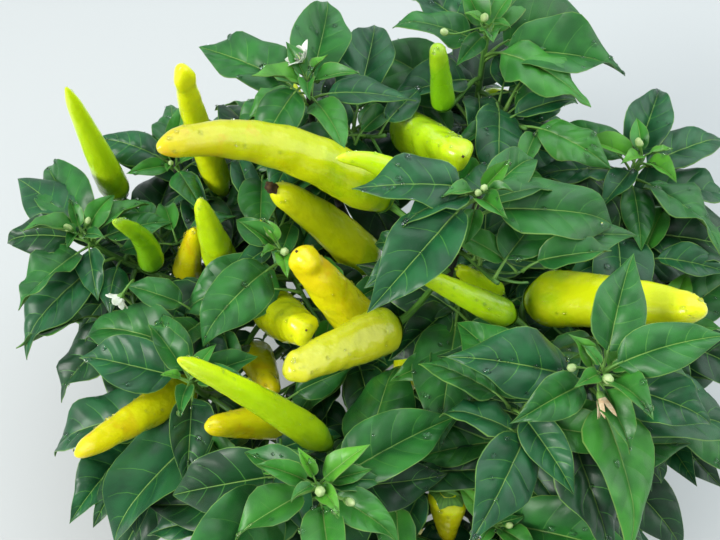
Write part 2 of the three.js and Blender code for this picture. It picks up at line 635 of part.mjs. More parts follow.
// The leaves along the j-th shoot of a mass. The first shoot is its leader.
function growLeaves(mass, shoot, j) {
  const count = j ? LEAVES_ON_A_SHOOT : LEAVES_LOW_ON_A_LEADER;
  const span = j ? SHOOT_SPAN : LEADER_SPAN;
  const turn = between(0, 360, mass.number, j, 7);
  for (let k = 0; k < count; k++) {
    const share = mix(...span, (k + 0.5) / count);
    const size = between(...LEAF_LENGTH_CHANCE, mass.number, j, k, 8);
    growLeaf(mass, shoot, {
      share,
      heading: turn + GOLDEN_ANGLE * k + between(-LEAF_TURN_CHANCE, LEAF_TURN_CHANCE, mass.number, j, k, 9),
      length: mix(LEAF_LENGTH.low, LEAF_LENGTH.high, share ** 3) * size,
      rise: mix(LOW_ANGLES.rise, HIGH_ANGLES.rise, share),
      tilt: mix(LOW_ANGLES.tilt, HIGH_ANGLES.tilt, share),
      sag: mix(LOW_ANGLES.sag, HIGH_ANGLES.sag, share),
    }, [mass.number, j, k]);
  }
}

// The curves of the stem, the boughs, the limbs, the leaders and the fruit
const fork = vector(FORK);
const stem = path(new THREE.Vector3(), UP, fork, fork);
const boughs = Object.entries(BOUGHS).map(([name, end]) => {
  const to = vector(end);
  const run = to.clone().sub(fork);
  return { name, curve: path(fork, run.clone().setZ(run.z * 1.15), to, run.clone().setZ(run.z * 0.8)) };
});
const masses = Object.entries(MASSES).map(([name, m], number) => {
  const from = boughs.find((b) => b.name === m.bough).curve.getPoint(1);
  const foot = vector(m.foot);
  const top = vector(m.top);
  const run = foot.clone().sub(from);
  const limb = path(from, run.clone().setZ(run.z * 0.8), foot, run.clone().setZ(run.z + 20));
  const along = limb.getTangent(1);
  const start = foot.clone().addScaledVector(along, GAP);
  const leader = path(start, along, top, top.clone().sub(foot).normalize().add(UP));
  return { ...m, name, number, top, limb, leader, solids: [], shoots: [] };
});
const fruits = FRUIT.map((f) => {
  const [foot, tip, bow] = [f.foot, f.tip, f.bow || [0, 0, 0]].map(vector);
  const middle = foot.clone().add(tip).multiplyScalar(0.5).addScaledVector(bow, 2);
  return { ...f, foot, tip, curve: new THREE.QuadraticBezierCurve3(foot, middle, tip) };
});

// Stem, boughs and limbs, each a little clear of the fork that carries it
const stemForks = forks(boughs.map((b) => b.curve), STEM_FORK_LENGTH, BOUGH_RADIUS);
addLimb(fuse([stemSolid(stem), ...stemForks]), 'stem', '', stem, STEM_RADIUS.foot);
for (const { name, curve } of boughs) {
  const start = shareAt(curve, STEM_FORK_LENGTH + GAP);
  const carried = masses.filter((m) => m.bough === name).map((m) => m.limb);
  const own = solidOf(tube(curve, start, 1, LIMB_STEPS, BOUGH_SIDES, taper(BOUGH_RADIUS)));
  const solid = fuse([own, ...forks(carried, BOUGH_FORK_LENGTH, LIMB_RADIUS)]);
  addLimb(solid, 'bough', name, curve, BOUGH_RADIUS.root);
}
for (const { name, limb } of masses) {
  const start = shareAt(limb, BOUGH_FORK_LENGTH + GAP);
  const solid = solidOf(tube(limb, start, 1, LIMB_STEPS, LIMB_SIDES, taper(LIMB_RADIUS)));
  addLimb(solid, 'limb', name, limb, LIMB_RADIUS.root);
}

// The masses grow together, a kind of piece at a time, so that none crowds another out
for (const m of masses) addTwig(m, m.leader, LEADER_RADIUS, LEADER_STEPS, LEADER_SIDES);
fruits.forEach((f, number) => addFruit(masses.find((m) => m.name === f.mass), f, number));
for (const m of masses) {
  for (let k = 0; k < m.sides; k++) addSideShoot(m, k);
}
masses.forEach(growCrown);
for (const m of masses) m.shoots.forEach((shoot, j) => growLeaves(m, shoot, j));
for (const m of masses) addNode(fuse(m.solids), 'foliage', m.name);

export default plant;
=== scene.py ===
"""The looks of a yellow wax chilli pepper plant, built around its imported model.

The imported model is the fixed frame: metres, +Z up, the origin at ground level in the middle of the
stem's flat cut. Tables and sizes here are in millimetres, and MM turns them into metres.

The plant grows by the rule of its solids: a stem, four boughs, a limb to each of thirteen masses,
and in each mass a leader with side shoots, leaves and fruit. Here the rule is carried on to finer
twigs, young leaves round the tips, blossom and rain drops.
"""

import logging
import math
from collections.abc import Callable, Sequence
from dataclasses import dataclass, field
from enum import Enum

import bpy
import numpy as np
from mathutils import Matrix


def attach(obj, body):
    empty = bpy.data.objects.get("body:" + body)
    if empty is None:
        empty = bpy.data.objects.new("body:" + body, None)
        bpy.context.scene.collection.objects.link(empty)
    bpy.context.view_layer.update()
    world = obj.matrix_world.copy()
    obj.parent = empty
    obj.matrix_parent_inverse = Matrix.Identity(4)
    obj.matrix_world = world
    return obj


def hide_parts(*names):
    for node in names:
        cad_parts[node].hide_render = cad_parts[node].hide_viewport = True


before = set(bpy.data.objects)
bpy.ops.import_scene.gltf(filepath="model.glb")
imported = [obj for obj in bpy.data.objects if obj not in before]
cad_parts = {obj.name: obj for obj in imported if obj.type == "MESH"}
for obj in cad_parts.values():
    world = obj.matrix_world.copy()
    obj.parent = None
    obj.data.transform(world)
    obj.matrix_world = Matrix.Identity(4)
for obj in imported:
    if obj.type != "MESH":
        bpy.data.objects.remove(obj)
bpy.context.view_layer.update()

log = logging.getLogger("pepper plant")

Array = np.ndarray
Colour = tuple[float, float, float]
Socket = bpy.types.NodeSocket
Radius = Callable[[Array], Array]  # by shares of a curve
Relief = Callable[[Array, Array], Array]  # by angles round a curve and millimetres along it
Key = tuple[int, ...]  # whole numbers that name a leaf, petal or surface, by which its chances are drawn

MM = 0.001
UP = np.array((0.0, 0.0, 1.0))
BODY = "root"
GAP = 0.3  # clear space between the solids of two masses
FORK = np.array((4.0, -3.0, 104.0))  # where the stem divides
GOLDEN_ANGLE = 137.5
PLACE = "place"  # a point attribute that says where on its leaf, twig or fruit a point lies
BAKED_MAP = "OFBake"  # the map by which the patterns of the leaves are laid out
LIGHT = np.array((-10.0, -290.0, 782.0))  # where the light comes from, to which fruit stand clear

# name: where it ends
BOUGHS = {
    "left": (-58, 12, 156),
    "right": (60, -22, 160),
    "back": (8, 60, 162),
    "front": (-14, -62, 150),
}

# name: bough, foot, top, sides, reach, drop, then [heading, length] of the crown's large leaves
MASSES = {
    "centre": ("right", (52, -2, 212), (60, 4, 362), 4, 52, 150,
               ((0, 84), (84, 62), (150, 58), (-130, 86), (-106, 24), (40, 50))),
    "inner": ("back", (-38, 42, 184), (-62, 6, 296), 4, 50, 125,
              ((-129, 74), (-168, 48), (100, 52))),
    "low_middle": ("front", (-20, -36, 172), (-14, -22, 204), 5, 66, 34,
                   ((-170, 70), (-75, 66), (10, 72), (80, 70), (130, 60))),
    "right": ("right", (104, -62, 200), (126, -97, 332), 6, 66, 205,
              ((148, 82), (81, 44), (70, 72), (15, 74), (-76, 38), (10, 44), (-78, 84), (-177, 54))),
    "far_right": ("right", (130, 44, 194), (192, 90, 284), 5, 62, 160,
                  ((23, 76), (67, 70), (-49, 74), (135, 56), (-129, 40), (170, 66))),
    "low_right": ("right", (142, -22, 172), (206, -22, 236), 4, 58, 122,
                  ((35, 76), (-30, 74), (95, 62), (160, 66), (-95, 60))),
    "back": ("back", (-26, 110, 194), (-46, 114, 338), 6, 64, 212,
             ((147, 90), (112, 86), (80, 76), (-4, 62), (-63, 50), (-152, 42), (-165, 44))),
    "back_right": ("back", (60, 124, 200), (82, 170, 332), 6, 66, 205,
                   ((-5, 92), (15, 90), (-36, 78), (60, 80), (120, 76), (-129, 30), (170, 60))),
    "left": ("left", (-138, 34, 186), (-212, 46, 250), 5, 56, 132,
             ((113, 88), (-178, 56), (38, 44), (-74, 42), (75, 64), (140, 80), (-125, 60))),
    "back_left": ("left", (-112, 76, 182), (-156, 120, 236), 4, 52, 112,
                  ((100, 66), (30, 60), (160, 54), (-30, 46), (65, 72))),
    "front_left": ("left", (-102, -38, 174), (-120, -72, 262), 5, 64, 136,
                   ((180, 74), (-152, 80), (-104, 70), (147, 56), (-20, 44))),
    "front": ("front", (-26, -112, 184), (-34, -152, 304), 5, 62, 172,
              ((129, 44), (54, 86), (-33, 48), (-148, 46), (1, 26), (-19, 34), (-80, 50))),
    "low_front": ("front", (42, -118, 176), (72, -160, 244), 5, 62, 126,
                  ((-106, 84), (-53, 72), (0, 70), (52, 50), (-150, 60), (172, 66))),
}


# Leaves that lean over fruit: mass, heading, length, and the rise, tilt and sag by which each is held
LEANING_LEAVES = [
    ("right", 12, 62, 58, 34, -20),
    ("right", 74, 60, 52, 34, 0),
    ("centre", -178, 66, 48, 18, -26),
    ("centre", 166, 52, 52, 20, -10),
    ("centre", -133, 82, 26, -8, -20),
    ("back", -96, 66, 30, 6, -40),
    ("back_left", -60, 50, 40, 20, -20),
    ("back_left", 172, 62, 34, 10, -30),
]


def chance(*key: int) -> float:
    """A repeatable chance from 0 to 1: the same key of whole numbers always gives the same one.

    Args:
        key: Whole numbers that name what the chance is for.

    Returns:
        The chance.
    """
    mask = 0xFFFFFFFF
    h = 0x9E3779B9
    for k in key:
        h = ((h ^ (k + 0x7F4A7C15)) * 0x85EBCA6B) & mask
        h ^= h >> 13
        h = (h * 0xC2B2AE35) & mask
        h ^= h >> 16
    return h / 4294967296


def between(low: float, high: float, *key: int) -> float:
    """A repeatable number from low to high, drawn by a key as a chance is."""
    return low + (high - low) * chance(*key)


def mix(a: float, b: float, share: float) -> float:
    """The number that lies a share of the way from a to b."""
    return a + (b - a) * share


def unit(v: Array) -> Array:
    """The same direction with a length of 1, for one vector or rows of them."""
    return v / np.maximum(np.linalg.norm(v, axis=-1, keepdims=True), 1e-12)


def ease(low: float, high: float, x: Array) -> Array:
    """A smooth step from 0 at low to 1 at high."""
    t = np.clip((np.asarray(x, float) - low) / (high - low), 0, 1)
    return t * t * (3 - 2 * t)


def towards(heading: float | Array, rise: float | Array) -> Array:
    """The unit vector, or rows of them, so many degrees from +X towards +Y and so many above the level."""
    h, r = np.radians(heading), np.radians(rise)
    return np.stack(np.broadcast_arrays(np.cos(r) * np.cos(h), np.cos(r) * np.sin(h), np.sin(r)), -1)


@dataclass(frozen=True)
class Curve:
    """A Bezier curve through space."""

    controls: Array

    def at(self, t: float | Array) -> Array:
        """The point, or rows of points, at these shares of the curve."""
        t = np.asarray(t, float)[..., None]
        rows = [np.broadcast_to(c, t.shape[:-1] + (3,)) for c in self.controls]
        while len(rows) > 1:
            rows = [a + (b - a) * t for a, b in zip(rows, rows[1:])]
        return rows[0]

    def way(self, t: float | Array) -> Array:
        """The unit direction, or rows of them, at these shares of the curve."""
        return unit(Curve(np.diff(self.controls, axis=0)).at(t))

    def length(self) -> float:
        """How long the curve is."""
        return float(np.linalg.norm(np.diff(self.at(np.linspace(0, 1, 65)), axis=0), axis=1).sum())

    def frames(self, t: Array) -> tuple[Array, Array]:
        """Two directions across the curve that turn as little as they can along it.

        Args:
            t: Rising shares of the curve.

        Returns:
            A row for each share, of each of the two directions.
        """
        ways = self.way(t)
        normal = UP if abs(ways[0][2]) < 0.9 else np.array((1.0, 0.0, 0.0))
        normals = []
        for way in ways:
            normal = unit(normal - way * (normal @ way))
            normals.append(normal)
        normals = np.array(normals)
        return normals, np.cross(ways, normals)

    def rings(self, t: Array, angle: Array, radius: Array) -> Array:
        """Rings of points round the curve.

        Args:
            t: Rising shares of the curve, one for each ring.
            angle: Where each point stands round it.
            radius: How far each point is from it, in rows of rings.

        Returns:
            The points, a row to each ring.
        """
        normal, side = self.frames(t)
        across = np.cos(angle)[:, None] * normal[:, None] + np.sin(angle)[:, None] * side[:, None]
        return self.at(t)[:, None] + across * radius[..., None]


def path(start: Array, way: Array, end: Array, last: Array, handle: float = 0.38) -> Curve:
    """A path that leaves start along way and comes to end along last, each kept for a share of its span."""
    reach = float(np.linalg.norm(end - start)) * handle
    return Curve(np.array((start, start + unit(way) * reach, end - unit(last) * reach, end)))


def all_round(count: int) -> Array:
    """Angles all round a ring, in even steps."""
    return np.linspace(0, 2 * math.pi, count, endpoint=False)


def ripple(angle: Array, along: Array, waves: int, pitch: float, *key: int) -> Array:
    """A gentle unevenness round and along a stem or fruit, which closes on itself all round.

    Args:
        angle: Radians round it.
        along: Millimetres along it.
        waves: The most waves that go round it.
        pitch: The shortest wave along it.
        key: Whole numbers that name what it is for.

    Returns:
        Heights from about -1 to 1.
    """
    total = np.zeros(np.broadcast(angle, along).shape)
    for k in range(6):
        turns = round(between(0, waves, *key, k, 1))
        slope = between(0.25, 1, *key, k, 2) * 2 * math.pi / pitch
        total = total + np.sin(turns * angle + slope * along + between(0, 2 * math.pi, *key, k, 3))
    return total / 3


class Mesh:
    """The points, faces and finishes of one piece, gathered part by part, in millimetres."""

    def __init__(self) -> None:
        """An empty piece."""
        self.points: list[Array] = []
        self.places: list[Array] = []
        self.maps: list[Array] = []
        self.faces: list[Array] = []
        self.slots: list[Array] = []
        self.count = 0

    def add(self, points: Array, faces: Array, slots: int | Array,
            places: Array | None = None, flat_map: Array | None = None) -> None:
        """Adds a part.

        Args:
            points: Its points, or rows of them.
            faces: Its faces with four corners, or three, as numbers of its own points.
            slots: The finish of each face, as a number, or one for all.
            places: Where on the part each point lies.
            flat_map: Where each point lies on the baked map.
        """
        points = points.reshape(-1, 3)
        self.points.append(points)
        self.places.append(np.zeros_like(points) if places is None else places.reshape(-1, 3))
        self.maps.append(np.zeros((len(points), 2)) if flat_map is None else flat_map.reshape(-1, 2))
        self.faces.append(faces + self.count)
        self.slots.append(np.broadcast_to(slots, len(faces)))
        self.count += len(points)

    def add_faces(self, faces: Array, slot: int) -> None:
        """Adds more faces on the points of the part that was added last."""
        self.faces.append(faces + self.count - len(self.points[-1]))
        self.slots.append(np.full(len(faces), slot))

    def build(self, name: str, materials: Sequence[bpy.types.Material], slot: str,
              replaces: Sequence[str] = (), mapped: bool = False) -> None:
        """Makes the piece, puts it on the plant's body and reports it.

        Args:
            name: The piece's name.
            materials: The finishes that the faces' numbers mean.
            slot: Its material slot; not used.
            replaces: The solids that it stands for.
            mapped: Whether it brings its own baked map.
        """
        corners = np.concatenate([f.ravel() for f in self.faces])
        sizes = np.concatenate([np.full(len(f), f.shape[1]) for f in self.faces])
        mesh = bpy.data.meshes.new(name)
        mesh.vertices.add(self.count)
        mesh.vertices.foreach_set("co", (np.concatenate(self.points) * MM).ravel())
        mesh.loops.add(len(corners))
        mesh.loops.foreach_set("vertex_index", corners)
        mesh.polygons.add(len(sizes))
        mesh.polygons.foreach_set("loop_start", np.cumsum(sizes) - sizes)
        mesh.polygons.foreach_set("material_index", np.concatenate(self.slots))
        mesh.polygons.foreach_set("use_smooth", np.ones(len(sizes), bool))
        place = mesh.attributes.new(PLACE, "FLOAT_VECTOR", "POINT")
        place.data.foreach_set("vector", np.concatenate(self.places).ravel())
        if mapped:
            layer = mesh.uv_layers.new(name=BAKED_MAP)
            layer.data.foreach_set("uv", np.concatenate(self.maps)[corners].ravel())
        mesh.update(calc_edges=True)
        mesh.validate()
        for material in materials:
            mesh.materials.append(material)
        piece = bpy.data.objects.new(name, mesh)
        bpy.context.scene.collection.objects.link(piece)
        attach(piece, BODY)
        if replaces:
            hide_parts(*replaces)
        log.info("%s: %d triangles", name, sum(sizes - 2))


def grid_faces(rows: int, columns: int, closed: bool = False) -> Array:
    """The faces between the rows of a grid of points, with four corners each.

    Args:
        rows: How many rows of points.
        columns: How many points in a row.
        closed: Whether each row closes on itself.

    Returns:
        One row of corners for each face.
    """
    j = np.arange(columns if closed else columns - 1)
    k = (j + 1) % columns
    a = np.arange(rows - 1)[:, None] * columns
    return np.stack((a + j, a + k, a + columns + k, a + columns + j), -1).reshape(-1, 4)


def cap_faces(rows: int, sides: int) -> Array:
    """The triangles that close the ends of rows of points, on two more points that come after them."""
    j = np.arange(sides)
    k = (j + 1) % sides
    foot = rows * sides
    last = foot - sides
    return np.concatenate((np.stack((np.full(sides, foot), k, j), -1),
                           np.stack((np.full(sides, foot + 1), last + j, last + k), -1)))


def add_tube(mesh: Mesh, curve: Curve, radius: Radius, slot: int, steps: int, sides: int,
             relief: Relief | None = None) -> None:
    """Adds a closed tube along a curve.

    Args:
        mesh: The piece.
        curve: Its middle line.
        radius: Its radius.
        slot: The number of its finish.
        steps: How many stretches it is drawn in.
        sides: How many sides it has.
        relief: A factor on the radius.
    """
    t = np.linspace(0, 1, steps + 1)
    angle = all_round(sides)
    along = t[:, None] * curve.length()
    r = radius(t)[:, None] * (relief(angle[None], along) if relief else 1.0)
    r = np.broadcast_to(r, (len(t), sides))
    rings = curve.rings(t, angle, r)
    place = np.stack(np.broadcast_arrays(np.cos(angle) * r, np.sin(angle) * r, along), -1)
    points = np.concatenate((rings.reshape(-1, 3), curve.at(t[[0, -1]])))
    places = np.concatenate((place.reshape(-1, 3), ((0, 0, along[0, 0]), (0, 0, along[-1, 0]))))
    mesh.add(points, grid_faces(len(t), sides, closed=True), slot, places)
    mesh.add_faces(cap_faces(len(t), sides), slot)


def add_spindle(mesh: Mesh, at: Array, way: Array, stations: Sequence[tuple[float, float]],
                slot: int, sides: int = 10, ribs: float = 0.0, rib_count: int = 5) -> None:
    """Adds a body turned about a line, such as a bud or an anther.

    Args:
        mesh: The piece.
        at: Where its line starts.
        way: The direction of its line.
        stations: Distance along the line and radius there, from its foot to its tip.
        slot: The number of its finish.
        sides: How many sides it has.
        ribs: How deep its ribs are, as a share of its radius.
        rib_count: How many ribs.
    """
    way = unit(way)
    side = unit(np.cross(way, UP if abs(way[2]) < 0.9 else (1.0, 0.0, 0.0)))
    other = np.cross(way, side)
    angle = all_round(sides)
    d = np.array(stations, float)
    r = d[:, 1:] * (1 + ribs * np.cos(rib_count * angle)[None])
    across = np.cos(angle)[:, None] * side + np.sin(angle)[:, None] * other
    place = np.stack(np.broadcast_arrays(np.cos(angle) * r, np.sin(angle) * r, d[:, :1]), -1)
    points = at + d[:, :1, None] * way + r[..., None] * across
    mesh.add(points, grid_faces(len(d), sides, closed=True), slot, place)


def add_sheet(mesh: Mesh, points: Array, slot: int, places: Array | None = None,
              closed: bool = False) -> None:
    """Adds rows of points as a sheet, or as a sleeve where each row closes on itself."""
    mesh.add(points, grid_faces(*points.shape[:2], closed), slot, places)


class Nodes:
    """A short way to place and join the nodes of one material or group."""

    def __init__(self, tree: bpy.types.NodeTree) -> None:
        """Takes the tree that the nodes go into."""
        self.tree = tree

    def give(self, node: bpy.types.Node, inputs: dict[str | int, object]) -> None:
        """Gives each input of a node a value, or joins it to another node's output. Colours are opaque."""
        for key, value in inputs.items():
            socket = node.inputs[key]
            if isinstance(value, Socket):
                self.tree.links.new(value, socket)
            else:
                socket.default_value = (*value, 1.0) if socket.type == "RGBA" else value

    def node(self, kind: str, inputs: dict[str | int, object], **settings: object) -> bpy.types.NodeOutputs:
        """Adds a node.

        Args:
            kind: The node's type.
            inputs: By socket, a value or another node's output.
            settings: The node's own settings.

        Returns:
            Its outputs.
        """
        node = self.tree.nodes.new(kind)
        for name, value in settings.items():
            setattr(node, name, value)
        self.give(node, inputs)
        return node.outputs

    def group(self, tree: bpy.types.NodeTree, **inputs: object) -> bpy.types.NodeOutputs:
        """Places one of the shared shader groups, with its own values."""
        return self.node("ShaderNodeGroup", inputs, node_tree=tree)

    def bump(self, height: Socket, distance: float) -> Socket:
        """A normal that follows a relief of this depth in metres."""
        return self.node("ShaderNodeBump", {"Height": height, "Distance": distance, "Strength": 1.0})[0]

    def noise(self, where: Socket, scale: float, detail: float = 3.0) -> Socket:
        """A noise from 0 to 1 at a point, whose scale is a number or a socket."""
        return self.node("ShaderNodeTexNoise", {"Vector": where, "Scale": scale, "Detail": detail})[0]

    def ramp(self, value: Socket, low: float, high: float, to: tuple[float, float] = (0.0, 1.0)) -> Socket:
        """A smooth step of a value, from to[0] at low to to[1] at high."""
        inputs = {"Value": value, "From Min": low, "From Max": high, "To Min": to[0], "To Max": to[1]}
        return self.node("ShaderNodeMapRange", inputs, interpolation_type="SMOOTHSTEP")[0]

    def blend(self, share: Socket, a: object, b: object) -> Socket:
        """A colour that lies a share of the way from a to b."""
        return self.node("ShaderNodeMix", {0: share, 6: a, 7: b}, data_type="RGBA")[2]

    def math(self, how: str, a: object, b: object = 0.0) -> Socket:
        """Arithmetic on two values."""
        return self.node("ShaderNodeMath", {0: a, 1: b}, operation=how)[0]

    def place(self) -> Socket:
        """Where on its leaf, twig or fruit the point lies."""
        return self.node("ShaderNodeAttribute", {}, attribute_name=PLACE)["Vector"]

    def stretched(self, where: Socket, scale: tuple[float, float, float]) -> Socket:
        """A point with each of its numbers scaled."""
        return self.node("ShaderNodeMapping", {"Vector": where, "Scale": scale})[0]

    def object_point(self) -> Socket:
        """The point in the plant's own frame, in metres."""
        return self.node("ShaderNodeTexCoord", {})["Object"]


class Effects:
    """The shader groups that several finishes share, each built once."""

    def __init__(self) -> None:
        """Builds all the groups."""
        self.tissue = self._tissue()
        self.streaks = self._streaks()
        self.skin = self._skin()

    @staticmethod
    def _group(name: str, inputs: dict[str, str],
               outputs: dict[str, str]) -> tuple[Nodes, bpy.types.NodeOutputs]:
        """Starts a group.

        Args:
            name: The group's name.
            inputs: The type of each input.
            outputs: The type of each output.

        Returns:
            The maker of its nodes, and what the group is given.
        """
        tree = bpy.data.node_groups.new(name, "ShaderNodeTree")
        for side, sockets in (("INPUT", inputs), ("OUTPUT", outputs)):
            for label, kind in sockets.items():
                tree.interface.new_socket(label, in_out=side, socket_type="NodeSocket" + kind)
        nodes = Nodes(tree)
        return nodes, nodes.node("NodeGroupInput", {})

    def _tissue(self) -> bpy.types.NodeTree:
        """Leaf tissue: soft cloudy tones, and a fine net of veins that the gloss breaks on."""
        n, given = self._group("leaf tissue", {"Light": "Color", "Deep": "Color", "Scale": "Float"},
                               {"Color": "Color", "Net": "Float", "Cloud": "Float"})
        where = n.object_point()
        cloud = n.noise(where, given["Scale"], 4.0)
        fine = n.math("MULTIPLY", given["Scale"], 17.0)
        net = n.node("ShaderNodeTexVoronoi", {"Vector": where, "Scale": fine}, feature="DISTANCE_TO_EDGE")
        n.node("NodeGroupOutput", {
            "Color": n.blend(n.ramp(cloud, 0.34, 0.68), given["Deep"], given["Light"]),
            "Net": n.ramp(net["Distance"], 0.0, 0.12), "Cloud": cloud,
        })
        return n.tree

    def _streaks(self) -> bpy.types.NodeTree:
        """Streaks that run along a stem or twig."""
        n, given = self._group("streaks along", {"Light": "Color", "Deep": "Color", "Width": "Float"},
                               {"Color": "Color", "Streak": "Float"})
        line = n.noise(n.stretched(n.place(), (0.9, 0.9, 0.05)), given["Width"], 5.0)
        colour = n.blend(n.ramp(line, 0.35, 0.65), given["Deep"], given["Light"])
        n.node("NodeGroupOutput", {"Color": colour, "Streak": line})
        return n.tree

    def _skin(self) -> bpy.types.NodeTree:
        """Fruit skin: green at the shoulder, ripe along the body, with golden blotches, dimples and pores."""
        colours = dict.fromkeys(("Shoulder", "Body", "Tip", "Blotch"), "Color")
        n, given = self._group("fruit skin", {**colours, "Blotches": "Float"},
                               {"Color": "Color", "Relief": "Float", "Cloud": "Float"})
        where = n.object_point()
        share = n.node("ShaderNodeSeparateXYZ", {0: n.place()})["Z"]
        cloud = n.noise(where, 38.0, 3.0)
        wander = n.math("ADD", share, n.ramp(cloud, 0.2, 0.8, (-0.16, 0.16)))
        colour = n.blend(n.ramp(wander, 0.02, 0.34), given["Shoulder"], given["Body"])
        colour = n.blend(n.ramp(wander, 0.5, 1.02), colour, given["Tip"])
        patch = n.noise(n.stretched(where, (1.0, 1.0, 0.6)), 62.0, 5.0)
        patch = n.math("MULTIPLY", n.ramp(patch, 0.52, 0.66), n.ramp(share, 0.35, 0.8))
        patch = n.math("MULTIPLY", patch, given["Blotches"])
        dimples = n.noise(n.stretched(where, (1.0, 1.0, 0.7)), 170.0, 2.0)
        pores = n.math("MULTIPLY", n.noise(where, 1300.0, 2.0), 0.06)
        colour = n.blend(patch, colour, given["Blotch"])
        n.node("NodeGroupOutput", {"Color": colour, "Relief": n.math("ADD", dimples, pores), "Cloud": cloud})
        return n.tree


@dataclass(frozen=True)
class Finish:
    """What all finishes share: a named material with one Principled shader."""

    name: str

    def build(self, effects: Effects) -> bpy.types.Material:
        """Makes the material."""
        material = bpy.data.materials.new(self.name)
        material.use_nodes = True
        nodes = Nodes(material.node_tree)
        nodes.give(material.node_tree.nodes["Principled BSDF"], self.sockets(nodes, effects))
        return material

    def sockets(self, n: Nodes, effects: Effects) -> dict[str, object]:
        """What the shader is given."""
        raise NotImplementedError


@dataclass(frozen=True)
class LeafFinish(Finish):
    """A leaf's blade, with cloudy tones and a waxy gloss."""

    light: Colour
    deep: Colour
    gloss: tuple[float, float] = (0.36, 0.5)  # roughness where the wax is thin and thick
    coat: float = 0.5  # how much wax lies over it
    scale: float = 55.0  # clouds to the metre
    relief: float = 0.00008  # depth of the net of veins, in metres

    def sockets(self, n: Nodes, effects: Effects) -> dict[str, object]:
        """What the shader is given."""
        tissue = n.group(effects.tissue, Light=self.light, Deep=self.deep, Scale=self.scale)
        return {
            "Base Color": tissue["Color"], "Roughness": n.ramp(tissue["Cloud"], 0.3, 0.7, self.gloss),
            "Normal": n.bump(tissue["Net"], self.relief),
            "Coat Weight": self.coat, "Coat Roughness": 0.36, "Specular IOR Level": 0.2,
        }


@dataclass(frozen=True)
class StemFinish(Finish):
    """A green or barky stem, streaked along its length."""

    light: Colour
    deep: Colour
    width: float = 1.0  # how fine the streaks are
    roughness: tuple[float, float] = (0.42, 0.62)
    relief: float = 0.0002  # depth of the streaks, in metres
    bark: Colour | None = None  # of old bark towards the ground
    bark_top: float = 0.09  # how high it reaches, in metres

    def sockets(self, n: Nodes, effects: Effects) -> dict[str, object]:
        """What the shader is given."""
        streaks = n.group(effects.streaks, Light=self.light, Deep=self.deep, Width=self.width)
        colour, streak = streaks["Color"], streaks["Streak"]
        if self.bark:
            height = n.node("ShaderNodeSeparateXYZ", {0: n.object_point()})["Z"]
            ragged = n.math("ADD", height, n.ramp(streak, 0.3, 0.7, (-0.02, 0.02)))
            colour = n.blend(n.ramp(ragged, 0.0, self.bark_top), self.bark, colour)
        return {"Base Color": colour, "Roughness": n.ramp(streak, 0.3, 0.7, self.roughness),
                "Normal": n.bump(streak, self.relief), "Specular IOR Level": 0.45}


@dataclass(frozen=True)
class FruitFinish(Finish):
    """A waxy fruit's skin."""

    shoulder: Colour
    body: Colour
    tip: Colour
    blotch: Colour = (0.72, 0.36, 0.01)
    blotches: float = 0.0  # how strongly they show

    def sockets(self, n: Nodes, effects: Effects) -> dict[str, object]:
        """What the shader is given."""
        skin = n.group(effects.skin, Shoulder=self.shoulder, Body=self.body, Tip=self.tip, Blotch=self.blotch,
                       Blotches=self.blotches)
        return {
            "Base Color": skin["Color"], "Roughness": n.ramp(skin["Cloud"], 0.3, 0.7, (0.24, 0.38)),
            "Normal": n.bump(skin["Relief"], 0.0008),
            "Coat Weight": 0.5, "Coat Roughness": 0.09, "Specular IOR Level": 0.3,
            "Subsurface Weight": 0.4, "Subsurface Radius": (1.0, 0.9, 0.1), "Subsurface Scale": 0.009,
        }


@dataclass(frozen=True)
class PetalFinish(Finish):
    """A soft petal, anther or scar, with faint clouds of a second tone."""

    light: Colour
    deep: Colour
    roughness: float = 0.6
    scale: float = 260.0  # clouds to the metre

    def sockets(self, n: Nodes, effects: Effects) -> dict[str, object]:
        """What the shader is given."""
        cloud = n.noise(n.object_point(), self.scale, 3.0)
        colour = n.blend(n.ramp(cloud, 0.35, 0.7), self.deep, self.light)
        return {"Base Color": colour, "Roughness": self.roughness, "Normal": n.bump(cloud, 0.00012),
                "Specular IOR Level": 0.4}


@dataclass(frozen=True)
class WaterFinish(Finish):
    """A clear rain drop."""

    name: str = "rain water"

    def sockets(self, n: Nodes, effects: Effects) -> dict[str, object]:
        """What the shader is given."""
        roughness = n.ramp(n.noise(n.object_point(), 120.0, 2.0), 0.3, 0.7, (0.01, 0.06))
        return {"Base Color": (0.93, 0.97, 1.0), "Roughness": roughness, "IOR": 1.33,
                "Transmission Weight": 1.0}


@dataclass(frozen=True)
class FloorFinish(Finish):
    """The plain pale studio floor."""

    name: str = "studio floor"
    colour: Colour = (0.54, 0.55, 0.54)

    def sockets(self, n: Nodes, effects: Effects) -> dict[str, object]:
        """What the shader is given."""
        return {"Base Color": self.colour, "Roughness": 0.8, "Specular IOR Level": 0.2}


class LeafTone(Enum):
    """The blade's finishes, from dark to light: the oldest leaves, and as painted shade the lowest ones, take
    the dark tones; the youngest, and as painted light the highest ones, take the light tones.
    """

    SHADE = LeafFinish("leaf shade green", (0.008, 0.075, 0.016), (0.004, 0.038, 0.010))
    DEEP = LeafFinish("leaf deep green", (0.012, 0.118, 0.030), (0.006, 0.064, 0.019))
    FULL = LeafFinish("leaf full green", (0.024, 0.175, 0.022), (0.012, 0.100, 0.016))
    FRESH = LeafFinish("leaf fresh green", (0.046, 0.250, 0.022), (0.024, 0.155, 0.017))
    YOUNG = LeafFinish("leaf young green", (0.105, 0.370, 0.024), (0.056, 0.240, 0.018), gloss=(0.32, 0.44))


